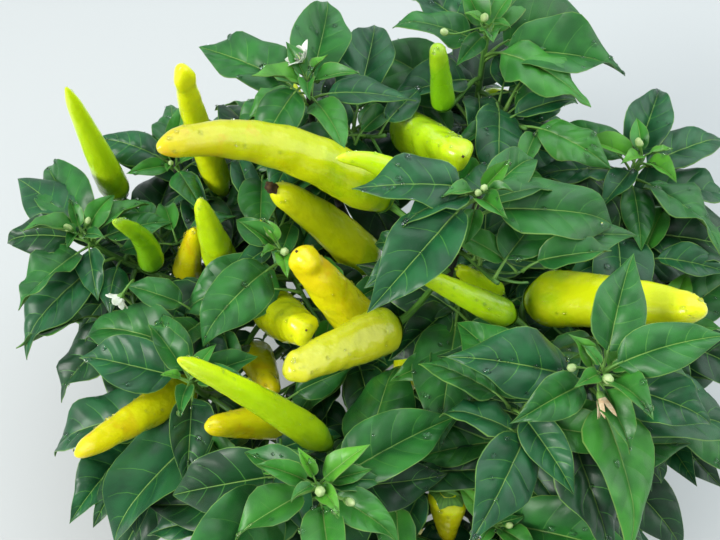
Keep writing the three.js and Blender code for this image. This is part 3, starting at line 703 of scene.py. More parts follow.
class LeafPart(Enum):
    """The finishes of the other parts of a leaf, in the order of the blade's numbers for them."""

    MARGIN = LeafFinish("leaf margin", (0.150, 0.300, 0.056), (0.090, 0.215, 0.040), coat=0.3)
    MIDRIB = LeafFinish("leaf midrib", (0.230, 0.400, 0.090), (0.150, 0.300, 0.062), coat=0.3)
    VEIN = LeafFinish("leaf side veins", (0.075, 0.260, 0.040), (0.045, 0.180, 0.030), coat=0.3)
    UNDERSIDE = LeafFinish("leaf underside", (0.095, 0.230, 0.060), (0.062, 0.170, 0.044), gloss=(0.5, 0.66),
                           coat=0.05, relief=0.00018)


class StemTone(Enum):
    """The finishes of stems, twigs and stalks."""

    BARK = StemFinish("stem bark", (0.085, 0.165, 0.032), (0.034, 0.080, 0.020), width=0.55, relief=0.0005,
                      bark=(0.130, 0.096, 0.048))
    TWIG = StemFinish("green twig", (0.095, 0.240, 0.036), (0.042, 0.132, 0.022))
    DARK_TWIG = StemFinish("purplish twig", (0.046, 0.052, 0.036), (0.018, 0.014, 0.024))
    STALK = StemFinish("leaf stalk", (0.170, 0.350, 0.058), (0.092, 0.232, 0.038))
    FRUIT_STALK = StemFinish("fruit stalk", (0.110, 0.285, 0.030), (0.058, 0.185, 0.020))


class Skin(Enum):
    """The finishes of the fruit."""

    LEMON = FruitFinish("fruit lemon yellow", (0.43, 0.66, 0.005), (0.75, 0.84, 0.005), (0.80, 0.83, 0.009))
    GOLD = FruitFinish("fruit gold", (0.55, 0.68, 0.005), (0.80, 0.76, 0.004), (0.82, 0.67, 0.005),
                       (0.70, 0.33, 0.005), 0.4)
    BLOTCHED = FruitFinish("fruit lemon with gold blotches", (0.34, 0.52, 0.004), (0.57, 0.64, 0.004),
                           (0.62, 0.54, 0.006), (0.66, 0.43, 0.005), 0.8)
    BRIGHT = FruitFinish("fruit bright lime", (0.24, 0.53, 0.005), (0.46, 0.73, 0.005), (0.56, 0.76, 0.009))
    LIME = FruitFinish("fruit lime", (0.28, 0.58, 0.005), (0.53, 0.78, 0.005), (0.61, 0.79, 0.009))
    GREEN = FruitFinish("fruit green", (0.105, 0.310, 0.006), (0.195, 0.440, 0.006), (0.330, 0.540, 0.010))
    PALE = FruitFinish("fruit pale yellow", (0.36, 0.46, 0.007), (0.56, 0.58, 0.012), (0.62, 0.61, 0.020))


@dataclass
class StandIn:
    """A simple shape in place of a piece, for telling whether two pieces meet."""

    triangles: Array  # three points each
    edges: Array  # two points each
    owner: str

    @classmethod
    def of(cls, points: Array, faces: Array, owner: str) -> "StandIn":
        """Makes one from points and the numbers of each face's corners."""
        pairs = np.sort(np.concatenate((faces[:, (0, 1)], faces[:, (1, 2)], faces[:, (2, 0)])), axis=1)
        return cls(points[faces], points[np.unique(pairs, axis=0)], owner)

    @classmethod
    def tube(cls, curve: Curve, span: tuple[float, float], steps: int, sides: int,
             radius: Radius, owner: str) -> "StandIn":
        """Makes one along a curve.

        Args:
            curve: The middle line.
            span: The stretch of it that is covered.
            steps: How many stretches it has.
            sides: How many sides.
            radius: The radius.
            owner: What it belongs to.

        Returns:
            The stand-in.
        """
        t = np.linspace(*span, steps + 1)
        rings = curve.rings(t, all_round(sides), np.broadcast_to(radius(t), t.shape)[:, None])
        quads = grid_faces(len(t), sides, closed=True)
        faces = np.concatenate((quads[:, (0, 1, 2)], quads[:, (0, 2, 3)]))
        return cls.of(rings.reshape(-1, 3), faces, owner)

    def points(self) -> Array:
        """All the ends of its edges."""
        return self.edges.reshape(-1, 3)


def crossing(edges: Array, triangles: Array) -> bool:
    """Whether any of the edges passes through any of the triangles.

    Args:
        edges: Two points each.
        triangles: Three points each.

    Returns:
        True where one does.
    """
    if not len(edges) or not len(triangles):
        return False
    start = edges[:, None, 0]
    way = edges[:, None, 1] - start
    corner = triangles[None, :, 0]
    one = triangles[None, :, 1] - corner
    two = triangles[None, :, 2] - corner
    across = np.cross(way, two)
    scale = (one * across).sum(-1)
    level = np.abs(scale) < 1e-12
    scale = np.where(level, 1.0, scale)
    offset = start - corner
    u = (offset * across).sum(-1) / scale
    turned = np.cross(offset, one)
    v = (way * turned).sum(-1) / scale
    t = (two * turned).sum(-1) / scale
    return bool((~level & (u >= 0) & (v >= 0) & (u + v <= 1) & (t >= 0) & (t <= 1)).any())


class Space:
    """All that is taken up: later twigs and leaves keep clear of it."""

    def __init__(self) -> None:
        """Nothing is taken yet."""
        self.kept: list[StandIn] = []
        self.low = np.empty((4096, 3))
        self.high = np.empty((4096, 3))

    def take(self, one: StandIn) -> None:
        """Keeps the room of a piece."""
        points = one.points()
        self.low[len(self.kept)] = points.min(0)
        self.high[len(self.kept)] = points.max(0)
        self.kept.append(one)

    def near(self, points: Array, besides: str = "") -> list[StandIn]:
        """The stand-ins whose boxes meet the box of these points, apart from those of one owner."""
        n = len(self.kept)
        hit = (self.low[:n] <= points.max(0)).all(1) & (self.high[:n] >= points.min(0)).all(1)
        return [self.kept[i] for i in np.flatnonzero(hit) if self.kept[i].owner != besides]

    def meets(self, one: StandIn, besides: str = "") -> bool:
        """Whether a piece meets anything that is taken.

        Args:
            one: The piece's stand-in.
            besides: An owner whose pieces it may meet.

        Returns:
            True where it meets something.
        """
        others = self.near(one.points(), besides)
        if not others:
            return False
        return (crossing(one.edges, np.concatenate([o.triangles for o in others]))
                or crossing(np.concatenate([o.edges for o in others]), one.triangles))


def leaf_outline(s: Array) -> Array:
    """How wide a solid leaf is along its length, as a share of its widest."""
    return s ** 0.62 * (1 - s) ** 1.08 / 0.334


def fruit_outline(s: Array, point: float) -> Array:
    """The half width of a fruit along its length, as a share of its widest."""
    s = np.asarray(s, float)
    shoulder = np.where(s < 0.14, 0.42 + 0.58 * np.sin(math.pi / 2 * np.clip(s / 0.14, 0, 1)), 1)
    narrowing = 1 - (1 - point) * np.maximum(0, (s - 0.14) / 0.86) ** 1.25
    nose = np.where(s > 0.9, np.sqrt(np.clip(1 - ((s - 0.9) / 0.1) ** 2, 0, 1)), 1)
    return shoulder * narrowing * nose


@dataclass
class Leaf:
    """One leaf: where it stands, how it is held and how old it is."""

    foot: Array  # where its stalk leaves the twig
    heading: float  # in degrees, as are the next four angles
    length: float  # of the blade
    rise: float  # of the stalk
    tilt: float  # of the blade's root
    sag: float  # of the blade's point
    roll: float  # to a side
    key: Key = ()  # whole numbers that name it
    youth: float = 0.0  # 0 for a full-grown leaf, 1 for the youngest

    BREADTH = 0.52
    FOLD = 16.0
    STATIONS = (0.32, 0.68)
    SAMPLES = (0.12, 0.32, 0.5, 0.68, 0.86)
    STALK_LEAST = 5.0
    STALK_SHARE = 0.16
    STALK_FREE = 0.45
    FACES = np.array(((0, 1, 2), (0, 2, 3), (1, 4, 5), (1, 5, 2), (2, 5, 6), (2, 6, 3), (4, 7, 5), (5, 7, 6)))

    @property
    def base(self) -> Array:
        """Where the blade starts."""
        stalk = self.STALK_SHARE * self.length + self.STALK_LEAST
        return self.foot + towards(self.heading, self.rise) * stalk

    def at(self, s: float | Array) -> Array:
        """Points on the midrib, an arc in the upright plane of the leaf's heading."""
        s = np.asarray(s, float)[..., None]
        start = math.radians(self.tilt)
        turn = math.radians(self.sag - self.tilt)
        if abs(turn) < 1e-3:
            turn = 1e-3
        out = self.length / turn * (np.sin(start + turn * s) - math.sin(start))
        up = -self.length / turn * (np.cos(start + turn * s) - math.cos(start))
        return self.base + towards(self.heading, 0) * out + UP * up

    def axes(self, s: float | Array, roll: float | Array | None = None) -> tuple[Array, Array]:
        """The directions to the leaf's left and up from its face.

        Args:
            s: Shares of its length.
            roll: Degrees of roll at each, where it isn't the leaf's own.

        Returns:
            Left and up, a row for each share.
        """
        along = towards(self.heading, mix(self.tilt, self.sag, np.asarray(s, float)))
        level = towards(self.heading + 90, 0)
        up = np.cross(along, level)
        lean = np.radians(self.roll if roll is None else roll)
        lean = np.broadcast_to(lean, along.shape[:-1])[..., None]
        left = level * np.cos(lean) + up * np.sin(lean)
        return left, np.cross(along, left)

    def rows(self, s: Array) -> Array:
        """Left edge, midrib and right edge at these shares of its length."""
        left, up = self.axes(s)
        half = (self.length * self.BREADTH * leaf_outline(s) / 2)[:, None]
        fold = math.radians(self.FOLD)
        middle = self.at(s)
        over = up * half * math.sin(fold)
        aside = left * half * math.cos(fold)
        return np.stack((middle + aside + over, middle, middle - aside + over), 1)

    def stand_in(self, offset: float, owner: str) -> StandIn:
        """The blade as eight triangles, moved up from its face, with the free part of its stalk.

        Args:
            offset: How far it is moved.
            owner: The name of what it belongs to.

        Returns:
            The stand-in.
        """
        _, up = self.axes(0.5)
        rows = self.rows(np.array(self.STATIONS)).reshape(-1, 3)
        points = np.concatenate((self.at(0)[None], rows, self.at(1)[None])) + up * offset
        shape = StandIn.of(points, self.FACES, owner)
        stalk = np.array(((mix(self.foot, self.base, self.STALK_FREE), self.base),))
        shape.edges = np.concatenate((shape.edges, stalk))
        return shape

    def samples(self) -> Array:
        """Points all over it."""
        rows = self.rows(np.array(self.SAMPLES)).reshape(-1, 3)
        return np.concatenate((self.base[None], rows, self.at(1)[None]))


# the radius at root and tip of a leader, a side shoot and a finer twig
SHOOT_RADII = ((3.3, 2.0), (1.9, 1.5), (1.15, 0.8))


@dataclass
class Shoot:
    """A twig that bears leaves."""

    curve: Curve
    name: str
    root: float  # radius where it starts
    tip: float  # radius at its tip
    order: int  # 0 for a leader, 1 for a side shoot, 2 for a finer twig
    leaves: list[Leaf] = field(default_factory=list)

    def radius(self, t: Array) -> Array:
        """Its radius at each share of its length."""
        return mix(self.root, self.tip, t)


class Lumps(Enum):
    """How uneven a fruit is: the depth of its lobes, of its wrinkles and of the waist near its tip."""

    SMOOTH = (0.030, 0.014, 0.0)
    WAVY = (0.045, 0.034, 0.0)
    LUMPY = (0.060, 0.040, 0.05)
    KNOBBED = (0.045, 0.034, 0.13)


@dataclass
class Fruit:
    """One fruit, whose foot is at its stalk."""

    mass: str
    foot: Sequence[float]
    tip: Sequence[float]
    girth: float  # its widest
    point: float  # how blunt its tip is, as a share of its girth
    bare: float  # how much of its length, from the tip, no leaf hides
    skin: Skin
    lumps: Lumps = Lumps.SMOOTH
    bow: Sequence[float] = (0, 0, 0)  # how far its middle stands off the straight line
    remnant: float = 0.0  # length of the dried flower on its tip, if it has kept one

    RINGS = 46
    SIDES = 30
    TWIG = (1.5, 2.4)
    SINK = 3.0
    TWIG_FEET = (0.06, 0.14, 0.22, 0.3, 0.38, 0.46, 0.54, 0.62, 0.7, 0.78)
    TWIG_CLIMB = 12.0
    WAIST_AT = 0.84
    CUP_STEPS = 7

    def __post_init__(self) -> None:
        """Works out its middle line."""
        self.foot = np.array(self.foot, float)
        self.tip = np.array(self.tip, float)
        middle = (self.foot + self.tip) / 2 + 2 * np.array(self.bow, float)
        self.curve = Curve(np.array((self.foot, middle, self.tip)))
        self.twig: Curve | None = None

    def join(self, leader: Curve) -> None:
        """Grows the twig that carries it, from the nearest lower point of its mass's leader."""
        def cost(t: float) -> float:
            """How far a point of the leader is, with a charge for one that isn't lower."""
            p = leader.at(t)
            climb = max(0.0, p[2] + self.TWIG_CLIMB - self.foot[2])
            return float(np.linalg.norm(p - self.foot)) + 3 * climb

        share = min(self.TWIG_FEET, key=cost)
        start = leader.at(share)
        along = self.curve.way(0.0)
        way = unit(self.foot - start) + leader.way(share)
        self.twig = path(start, way, self.foot + along * self.SINK, along)

    def radius(self, s: Array) -> Array:
        """Its radius at each share of its length."""
        return self.girth / 2 * fruit_outline(s, self.point)

    def surface(self, number: int) -> tuple[Array, Array]:
        """Its skin: lobes and wrinkles all over, and a waist below its tip where it is knobbed.

        Args:
            number: Its own number, which its unevenness is drawn by.

        Returns:
            Rings of points, and where on the fruit each of them lies.
        """
        lobes, wrinkles, waist = self.lumps.value
        s = 1 - (1 - np.linspace(0, 1, self.RINGS)) ** 1.25
        angle = all_round(self.SIDES)
        share = s[:, None]
        along = share * self.curve.length()
        turn = between(-0.9, 0.9, number, 41)
        knob = 1 + 1.6 * np.exp(-(((share - 0.94) / 0.05) ** 2)) * (waist > 0)
        lobed = np.cos(3 * angle + turn * share * 3 + between(0, 6.3, number, 42)) * lobes * knob
        lobed = lobed + 0.5 * lobes * np.cos(2 * angle + between(0, 6.3, number, 43))
        uneven = ripple(angle, along, 3, self.girth * 0.75, number, 44) * wrinkles * (0.35 + 0.65 * share)
        uneven = uneven + 0.4 * wrinkles * ripple(angle, along, 8, self.girth * 0.34, number, 45)
        uneven = uneven + 0.14 * wrinkles * ripple(angle, along, 13, self.girth * 0.15, number, 47)
        leaning = 0.6 + 0.4 * np.cos(angle - between(0, 6.3, number, 46))
        fold = -waist * leaning * np.exp(-(((share - self.WAIST_AT) / 0.045) ** 2))
        sharper = 1 - (0.55 - min(self.point, 0.55)) * 1.1 * ease(0.86, 1.0, share)
        ends = ease(0.0, 0.12, share) * ease(0.0, 0.08, 1 - share) + 0.25
        r = self.radius(s)[:, None] * (1 + (lobed + uneven) * ends + fold) * sharper
        place = np.stack(np.broadcast_arrays(np.cos(angle), np.sin(angle), share), -1)
        return self.curve.rings(s, angle, r), place

    def draw_cup(self, mesh: Mesh, number: int) -> None:
        """Adds the green cup at its stalk, with its rim of small teeth."""
        steps = np.linspace(0, 1, self.CUP_STEPS)
        angle = all_round(self.SIDES)
        teeth = (0.5 + 0.5 * np.cos(5 * angle + number)) ** 3
        s = steps[:, None] * (2.6 + 1.9 * teeth)[None] / self.curve.length()
        normal, side = self.curve.frames(np.linspace(0, 0.1, 2))
        lift = 0.9 - 0.35 * steps + 0.5 * ease(0.8, 1.0, steps)
        ribs = 1 + 0.03 * np.cos(5 * angle + number)
        r = (self.radius(s.ravel()).reshape(s.shape) + lift[:, None]) * ribs
        r = r * (0.34 + 0.66 * ease(0, 0.45, steps))[:, None]
        centre = self.curve.at(s) - self.curve.way(0.0) * 0.8 * (1 - steps)[:, None, None]
        across = np.cos(angle)[:, None] * normal[0] + np.sin(angle)[:, None] * side[0]
        place = np.stack(np.broadcast_arrays(np.cos(angle) * 9, np.sin(angle) * 9, s * 100), -1)
        add_sheet(mesh, centre + r[..., None] * across, 0, place, closed=True)

    def draw_remnant(self, mesh: Mesh) -> None:
        """Adds what is left of the flower on its tip: a dried brown husk, or only a small dark scar."""
        way = self.curve.way(1.0)
        r = 0.5 + 0.32 * self.remnant
        stations = ((0, 1.1 * r), (0.3, 1.2 * r), (0.55, 0.9 * r), (0.8, r), (1.0, 0.5 * r), (1.1, 0))
        drawn = [(d * (self.remnant + 1), radius) for d, radius in stations]
        add_spindle(mesh, self.tip - way, way + 0.25 * UP, drawn, 0, sides=14, ribs=0.22, rib_count=4)


# The fruit, as they stand in the crown
FRUIT = [
    Fruit("back_left", (-204, 112, 205), (-200, 93, 355), 24, 0.3, 0.8, Skin.LIME),
    Fruit("back_left", (-119, 110, 213), (-121, 90, 377), 22, 0.6, 0.9, Skin.LEMON, Lumps.KNOBBED, (-6, 8, 0)),
    Fruit("centre", (9, 50, 285), (-126, 18, 387), 34, 0.46, 0.95, Skin.BLOTCHED, Lumps.WAVY, (-5, 18, 9)),
    Fruit("centre", (29, 37, 319), (-25, 37, 353), 18, 0.3, 0.7, Skin.LIME, bow=(0, 5, 4)),
    Fruit("inner", (-1, 45, 205), (-67, 41, 315), 34, 0.48, 0.7, Skin.LEMON, bow=(-1, 7, 0), remnant=8),
    Fruit("centre", (1, -26, 225), (-49, -13, 325), 33, 0.55, 0.8, Skin.GOLD, Lumps.KNOBBED, remnant=1),
    Fruit("front_left", (-75, 5, 208), (-45, -41, 272), 34, 0.55, 0.45, Skin.LEMON, Lumps.LUMPY, remnant=0.8),
    Fruit("front_left", (-92, -12, 176), (-70, -64, 222), 27, 0.45, 0.3, Skin.GOLD),
    Fruit("centre", (12, -44, 286), (-52, -96, 330), 29, 0.55, 0.8, Skin.PALE, Lumps.LUMPY),
    Fruit("right", (34, -32, 236), (20, -46, 166), 32, 0.45, 0, Skin.LEMON),
    Fruit("centre", (24, 139, 257), (55, 46, 343), 34, 0.55, 0.7, Skin.BRIGHT, Lumps.LUMPY, remnant=1),
    Fruit("back_right", (50, 123, 300), (40, 120, 365), 17, 0.6, 1, Skin.GREEN, Lumps.WAVY),
    Fruit("right", (89, -35, 278), (20, -34, 339), 19, 0.4, 0.85, Skin.BRIGHT),
    Fruit("right", (107, -8, 252), (189, -61, 338), 38, 0.4, 0.9, Skin.LEMON, Lumps.WAVY, (6, -1, 5)),
    Fruit("centre", (82, -9, 262), (52, -14, 307), 18, 0.45, 0.6, Skin.LIME, Lumps.LUMPY),
    Fruit("front_left", (-131, -51, 203), (-175, -131, 292), 27, 0.42, 0.6, Skin.GOLD, Lumps.WAVY),
    Fruit("front", (-31, -106, 236), (-104, -106, 372), 20, 0.4, 0.95, Skin.LIME, Lumps.WAVY, (0, 3, 0)),
    Fruit("front", (-56, -78, 208), (-104, -108, 276), 26, 0.42, 0.3, Skin.GOLD),
    Fruit("left", (-165, 32, 225), (-175, 28, 296), 19, 0.4, 0.95, Skin.GREEN, Lumps.WAVY, (6, 6, 0)),
    Fruit("inner", (-111, 35, 222), (-114, 31, 318), 24, 0.34, 0.7, Skin.LIME, Lumps.WAVY),
    Fruit("left", (-146, 47, 190), (-128, 44, 262), 22, 0.36, 0.2, Skin.GOLD),
    Fruit("low_front", (44, -141, 254), (47, -159, 204), 24, 0.36, 0.4, Skin.GOLD, Lumps.WAVY),
    Fruit("low_front", (19, -103, 226), (27, -111, 276), 18, 0.35, 0, Skin.GREEN),
    Fruit("front", (-2, -112, 206), (34, -142, 126), 28, 0.42, 0, Skin.GOLD),
    Fruit("back", (-52, 150, 236), (-86, 214, 262), 27, 0.4, 0, Skin.LEMON),
    Fruit("back_right", (96, 176, 238), (128, 222, 196), 29, 0.4, 0, Skin.LEMON, Lumps.WAVY),
    Fruit("far_right", (172, 96, 204), (222, 142, 160), 27, 0.38, 0, Skin.BRIGHT),
    Fruit("low_right", (186, -44, 186), (214, -84, 108), 28, 0.42, 0, Skin.LIME, Lumps.WAVY),
]


@dataclass
class Mass:
    """One of the crown's masses: a limb's leader with all that grows on it."""

    name: str
    number: int  # which its chances are drawn by
    bough: str
    foot: Sequence[float]  # where the limb ends and the leader begins
    top: Sequence[float]  # the leader's tip
    sides: int  # how many side shoots
    reach: float  # of the side shoots
    drop: float  # how far below the top the lowest of them ends
    crown: Sequence[tuple[float, float]]  # heading and length of the large leaves round the tip

    def __post_init__(self) -> None:
        """Starts with no shoots."""
        self.foot = np.array(self.foot, float)
        self.top = np.array(self.top, float)
        self.shoots: list[Shoot] = []
        self.limb: Curve | None = None

    def start(self, bough_tip: Array) -> None:
        """Draws its limb from the tip of the bough, and its leader from the tip of the limb."""
        run = self.foot - bough_tip
        self.limb = path(bough_tip, run * (1, 1, 0.8), self.foot, run + UP * 20)
        along = self.limb.way(1.0)
        leader = path(self.foot + along * GAP, along, self.top, unit(self.top - self.foot) + UP)
        self.shoots.append(Shoot(leader, self.name + " 0", *SHOOT_RADII[0], 0))

    @property
    def leader(self) -> Curve:
        """The middle line of its leader."""
        return self.shoots[0].curve

    @property
    def dark(self) -> bool:
        """Whether its limb and leader are purplish."""
        return self.number % 3 == 0


@dataclass
class Growth:
    """Grows the plant: the rule of its solids, and then what is finer than they are."""

    stem_radius: tuple[float, float, float] = (12.5, 9.2, 7.2)  # at its flare, foot and fork
    bough_radius: tuple[float, float] = (5.4, 4.4)  # at its root and tip
    limb_radius: tuple[float, float] = (3.8, 3.0)
    bark_clearance: float = 1.0  # what leaves keep off bark
    twig_clearance: float = 0.8  # off twigs and fruit
    leaf_clearance: float = 1.3  # off one another
    finer_twigs: int = 2  # on each side shoot
    rosette_leaves: int = 5  # young ones round each tip
    fillers: int = 1  # how often each shoot is gone over again for more leaves
    filler_leaves: int = 4  # how many are tried each time

    LEAST_HEIGHT = 22.0
    SEEN = 0.92
    LEAF_TRIES = 12
    TRY_TURN = 13.0
    TRY_SHRINK = 0.028
    SHOOT_TRIES = 8
    SHOOT_TRY_TURN = 17.0
    SHOOT_CLEARANCE = 3.4
    SPREAD = (10, 14, 16, 20)  # how far a leaf's rise, tilt, sag and roll stray to each side
    SPREAD_KEY = 3
    CROWN_HOLD = (34, 12, -24)  # the rise, tilt and sag by which a leaf is held
    LOW_HOLD = (18, 4, -46)
    HIGH_HOLD = (45, 22, -20)
    ROSETTE_HOLD = (58, 48, 4)

    def __post_init__(self) -> None:
        """Draws the middle lines, and keeps the room of the stem, the boughs and the limbs."""
        self.space = Space()
        self.stem = path(np.zeros(3), UP, FORK, FORK)
        self.boughs: dict[str, Curve] = {}
        for name, end in BOUGHS.items():
            run = np.array(end, float) - FORK
            self.boughs[name] = path(FORK, run * (1, 1, 1.15), np.array(end, float), run * (1, 1, 0.8))
        self.masses = [Mass(name, number, *row) for number, (name, row) in enumerate(MASSES.items())]
        for mass in self.masses:
            mass.start(self.boughs[mass.bough].at(1.0))
        self._keep_limb(self.stem, self.stem_radius[1])
        for curve in self.boughs.values():
            self._keep_limb(curve, self.bough_radius[0])
        for mass in self.masses:
            self._keep_limb(mass.limb, self.limb_radius[0])
        bare = [f for f in FRUIT if f.bare > 0]
        shares = np.arange(7) / 6
        self.sights = np.concatenate([f.curve.at(mix(1 - f.bare, 0.97, shares)) - LIGHT for f in bare])
        self.sight_radii = np.repeat([f.girth / 2 * self.SEEN for f in bare], 7)

    def _keep_limb(self, curve: Curve, radius: float) -> None:
        """Keeps the room of a stem, bough or limb."""
        room = radius + self.bark_clearance
        self.space.take(StandIn.tube(curve, (0, 1), 3, 5, lambda t: np.full(t.shape, room), "bark"))

    def _keep_shoot(self, shoot: Shoot, steps: int) -> None:
        """Keeps the room of a twig."""
        room = self.twig_clearance
        shape = StandIn.tube(shoot.curve, (0, 1), steps, 3, lambda t: shoot.radius(t) + room, shoot.name)
        self.space.take(shape)

    def grow(self) -> None:
        """Grows everything, a kind at a time, so that no mass crowds another out."""
        for mass in self.masses:
            self._keep_shoot(mass.shoots[0], 4)
        for number, fruit in enumerate(FRUIT):
            self._hang(fruit, number)
        for mass in self.masses:
            for k in range(mass.sides):
                self._side_shoot(mass, k)
        for mass in self.masses:
            self._crown(mass)
        for mass in self.masses:
            for j, shoot in enumerate(mass.shoots):
                self._leaves(mass, shoot, j)
        self._leaning_leaves()
        for mass in self.masses:
            self._rosette(mass)
        for mass in self.masses:
            for j, shoot in enumerate(list(mass.shoots)):
                if j:
                    self._finer_twigs(mass, shoot, j)
        for round_number in range(self.fillers):
            for mass in self.masses:
                for j, shoot in enumerate(mass.shoots):
                    if shoot.order < 2:
                        self._fill(mass, shoot, j, round_number)

    def _hang(self, fruit: Fruit, number: int) -> None:
        """Joins a fruit to its mass and keeps its room and that of its twig."""
        mass = next(m for m in self.masses if m.name == fruit.mass)
        fruit.join(mass.leader)
        room = self.twig_clearance
        owner = f"fruit {number}"
        self.space.take(StandIn.tube(fruit.curve, (0.02, 0.97), 4, 6, lambda t: fruit.radius(t) + room, owner))
        self.space.take(StandIn.tube(fruit.twig, (0.1, 1), 3, 3, lambda t: mix(*fruit.TWIG, t) + room, owner))

    def _side_shoot(self, mass: Mass, k: int) -> None:
        """Grows the k-th side shoot: the top ones lean over the middle, the low ones spread and hang."""
        low = (k + 1) / mass.sides
        share = mix(0.72, 0.08, low)
        outward = math.degrees(math.atan2(mass.top[1], mass.top[0]))
        turn = (1 if k % 2 else -1) * mix(150, 30, low)
        rise = mix(55, -15, low)
        reach = mass.reach * mix(0.8, 1.1, low)
        start = mass.leader.at(share)
        for attempt in range(self.SHOOT_TRIES):
            swing = between(-24, 24, mass.number, k, attempt, 1)
            heading = outward + turn + swing + attempt * self.SHOOT_TRY_TURN
            far = reach * between(0.85, 1.15, mass.number, k, attempt, 2)
            end = start + towards(heading, 0) * far
            end[2] = mass.top[2] - mass.drop * low
            way = towards(heading, 20) + mass.leader.way(share) * 0.6
            curve = path(start, way, end, towards(heading, rise))
            if self._add_shoot(mass, curve, 1, mass.shoots[0].name):
                return

    def _add_shoot(self, mass: Mass, curve: Curve, order: int, besides: str) -> bool:
        """Adds a twig where it has room.

        Args:
            mass: The mass that it belongs to.
            curve: Its middle line.
            order: 1 for a side shoot, 2 for a finer twig.
            besides: The name of the twig that it leaves.

        Returns:
            Whether it was added.
        """
        root, tip = SHOOT_RADII[order]
        room = self.SHOOT_CLEARANCE if order < 2 else self.twig_clearance + root
        free = 0.1 if order < 2 else 0.25
        probe = StandIn.tube(curve, (free, 1), 3, 3, lambda t: np.full(t.shape, room), "probe")
        if self.space.meets(probe, besides):
            return False
        shoot = Shoot(curve, f"{mass.name} {len(mass.shoots)}", root, tip, order)
        mass.shoots.append(shoot)
        self._keep_shoot(shoot, 4 - order)
        return True

    def _hides(self, points: Array) -> bool:
        """Whether any of the points stands between the light and the bare stretch of a fruit."""
        offset = points - LIGHT
        far = np.linalg.norm(offset, axis=1, keepdims=True)
        sight = offset / far
        depth = sight @ self.sights.T
        aside = np.sqrt(np.maximum((self.sights ** 2).sum(1)[None] - depth ** 2, 0))
        return bool(((depth > far) & (aside < self.sight_radii[None])).any())

    def _fits(self, leaf: Leaf, shoot: Shoot, clearance: float, leans: bool) -> bool:
        """Whether a leaf has room, clears the ground and hides no fruit.

        Args:
            leaf: The leaf.
            shoot: The twig that it stands on.
            clearance: What it keeps off other leaves.
            leans: Whether it may hide fruit.

        Returns:
            Whether it fits.
        """
        samples = leaf.samples()
        if (samples[:, 2] < self.LEAST_HEIGHT).any() or not leans and self._hides(samples):
            return False
        if any(self.space.meets(leaf.stand_in(d, shoot.name)) for d in (0.0, clearance, -clearance)):
            return False
        stalk = np.array(((mix(leaf.foot, leaf.base, leaf.STALK_FREE), leaf.base),))
        others = self.space.near(stalk[0], shoot.name)
        return not others or not crossing(stalk, np.concatenate([o.triangles for o in others]))

    def _leaf(self, shoot: Shoot, share: float, heading: float, length: float, hold: Sequence[float],
              key: Key, youth: float = 0.0, tries: int = LEAF_TRIES, clearance: float | None = None,
              leans: bool = False) -> bool:
        """Adds a leaf, turned and made a little smaller until it fits, or else left out.

        Args:
            shoot: The twig that bears it.
            share: Where on the twig it stands.
            heading: Its compass heading.
            length: Its length.
            hold: The rise of its stalk, and the tilt and sag of its blade, in degrees.
            key: Whole numbers that name it.
            youth: How young it is, from 0 to 1.
            tries: How many times it is tried.
            clearance: What it keeps off other leaves, where it isn't the usual.
            leans: Whether it may hide fruit.

        Returns:
            Whether it was added.
        """
        foot = shoot.curve.at(share)
        room = self.leaf_clearance if clearance is None else clearance
        for attempt in range(tries):
            swing = (1 if attempt % 2 else -1) * math.ceil(attempt / 2) * self.TRY_TURN
            angles = [angle + between(-wide, wide, *key, attempt, self.SPREAD_KEY + n)
                      for n, (angle, wide) in enumerate(zip((*hold, 0.0), self.SPREAD))]
            leaf = Leaf(foot, heading + swing, length * (1 - self.TRY_SHRINK * attempt), *angles, key, youth)
            if self._fits(leaf, shoot, room, leans):
                shoot.leaves.append(leaf)
                self.space.take(leaf.stand_in(0.0, shoot.name + " leaf"))
                return True
        return False

    def _crown(self, mass: Mass) -> None:
        """Grows the large leaves that ring the tip of a mass's leader."""
        for k, (heading, length) in enumerate(mass.crown):
            youth = 0.55 if length < 52 else 0.2
            self._leaf(mass.shoots[0], 1 - 0.0021 * length, heading, length, self.CROWN_HOLD,
                       (mass.number, 100, k), youth)

    def _leaning_leaves(self) -> None:
        """Grows the leaves that lean over fruit."""
        masses = {mass.name: mass for mass in self.masses}
        for k, (name, heading, length, *angles) in enumerate(LEANING_LEAVES):
            mass = masses[name]
            self._leaf(mass.shoots[0], 0.97, heading, length, angles, (mass.number, 150, k), 0.2,
                       clearance=0.7, leans=True)

    def _hold(self, share: float) -> list[float]:
        """How a leaf is held at a share of its twig."""
        return [mix(low, high, share) for low, high in zip(self.LOW_HOLD, self.HIGH_HOLD)]

    def _leaves(self, mass: Mass, shoot: Shoot, j: int) -> None:
        """Grows the leaves along the j-th shoot of a mass. The first shoot is its leader."""
        count = 4 if j else 3
        low, high = (0.3, 1) if j else (0.2, 0.75)
        turn = between(0, 360, mass.number, j, 7)
        for k in range(count):
            share = mix(low, high, (k + 0.5) / count)
            size = between(0.82, 1.15, mass.number, j, k, 8)
            heading = turn + GOLDEN_ANGLE * k + between(-15, 15, mass.number, j, k, 9)
            length = mix(96, 54, share ** 3) * size
            self._leaf(shoot, share, heading, length, self._hold(share), (mass.number, j, k), 0.4 * share ** 3)

    def _rosette(self, mass: Mass) -> None:
        """Grows the young leaves that stand up round the tip of a mass's leader."""
        turn = between(0, 360, mass.number, 61)
        for k in range(self.rosette_leaves):
            age = k / max(1, self.rosette_leaves - 1)
            length = mix(40, 16, age) * between(0.85, 1.15, mass.number, k, 62)
            self._leaf(mass.shoots[0], mix(0.93, 0.995, age), turn + GOLDEN_ANGLE * k, length,
                       self.ROSETTE_HOLD, (mass.number, 200, k), mix(0.7, 1.0, age), clearance=0.5)

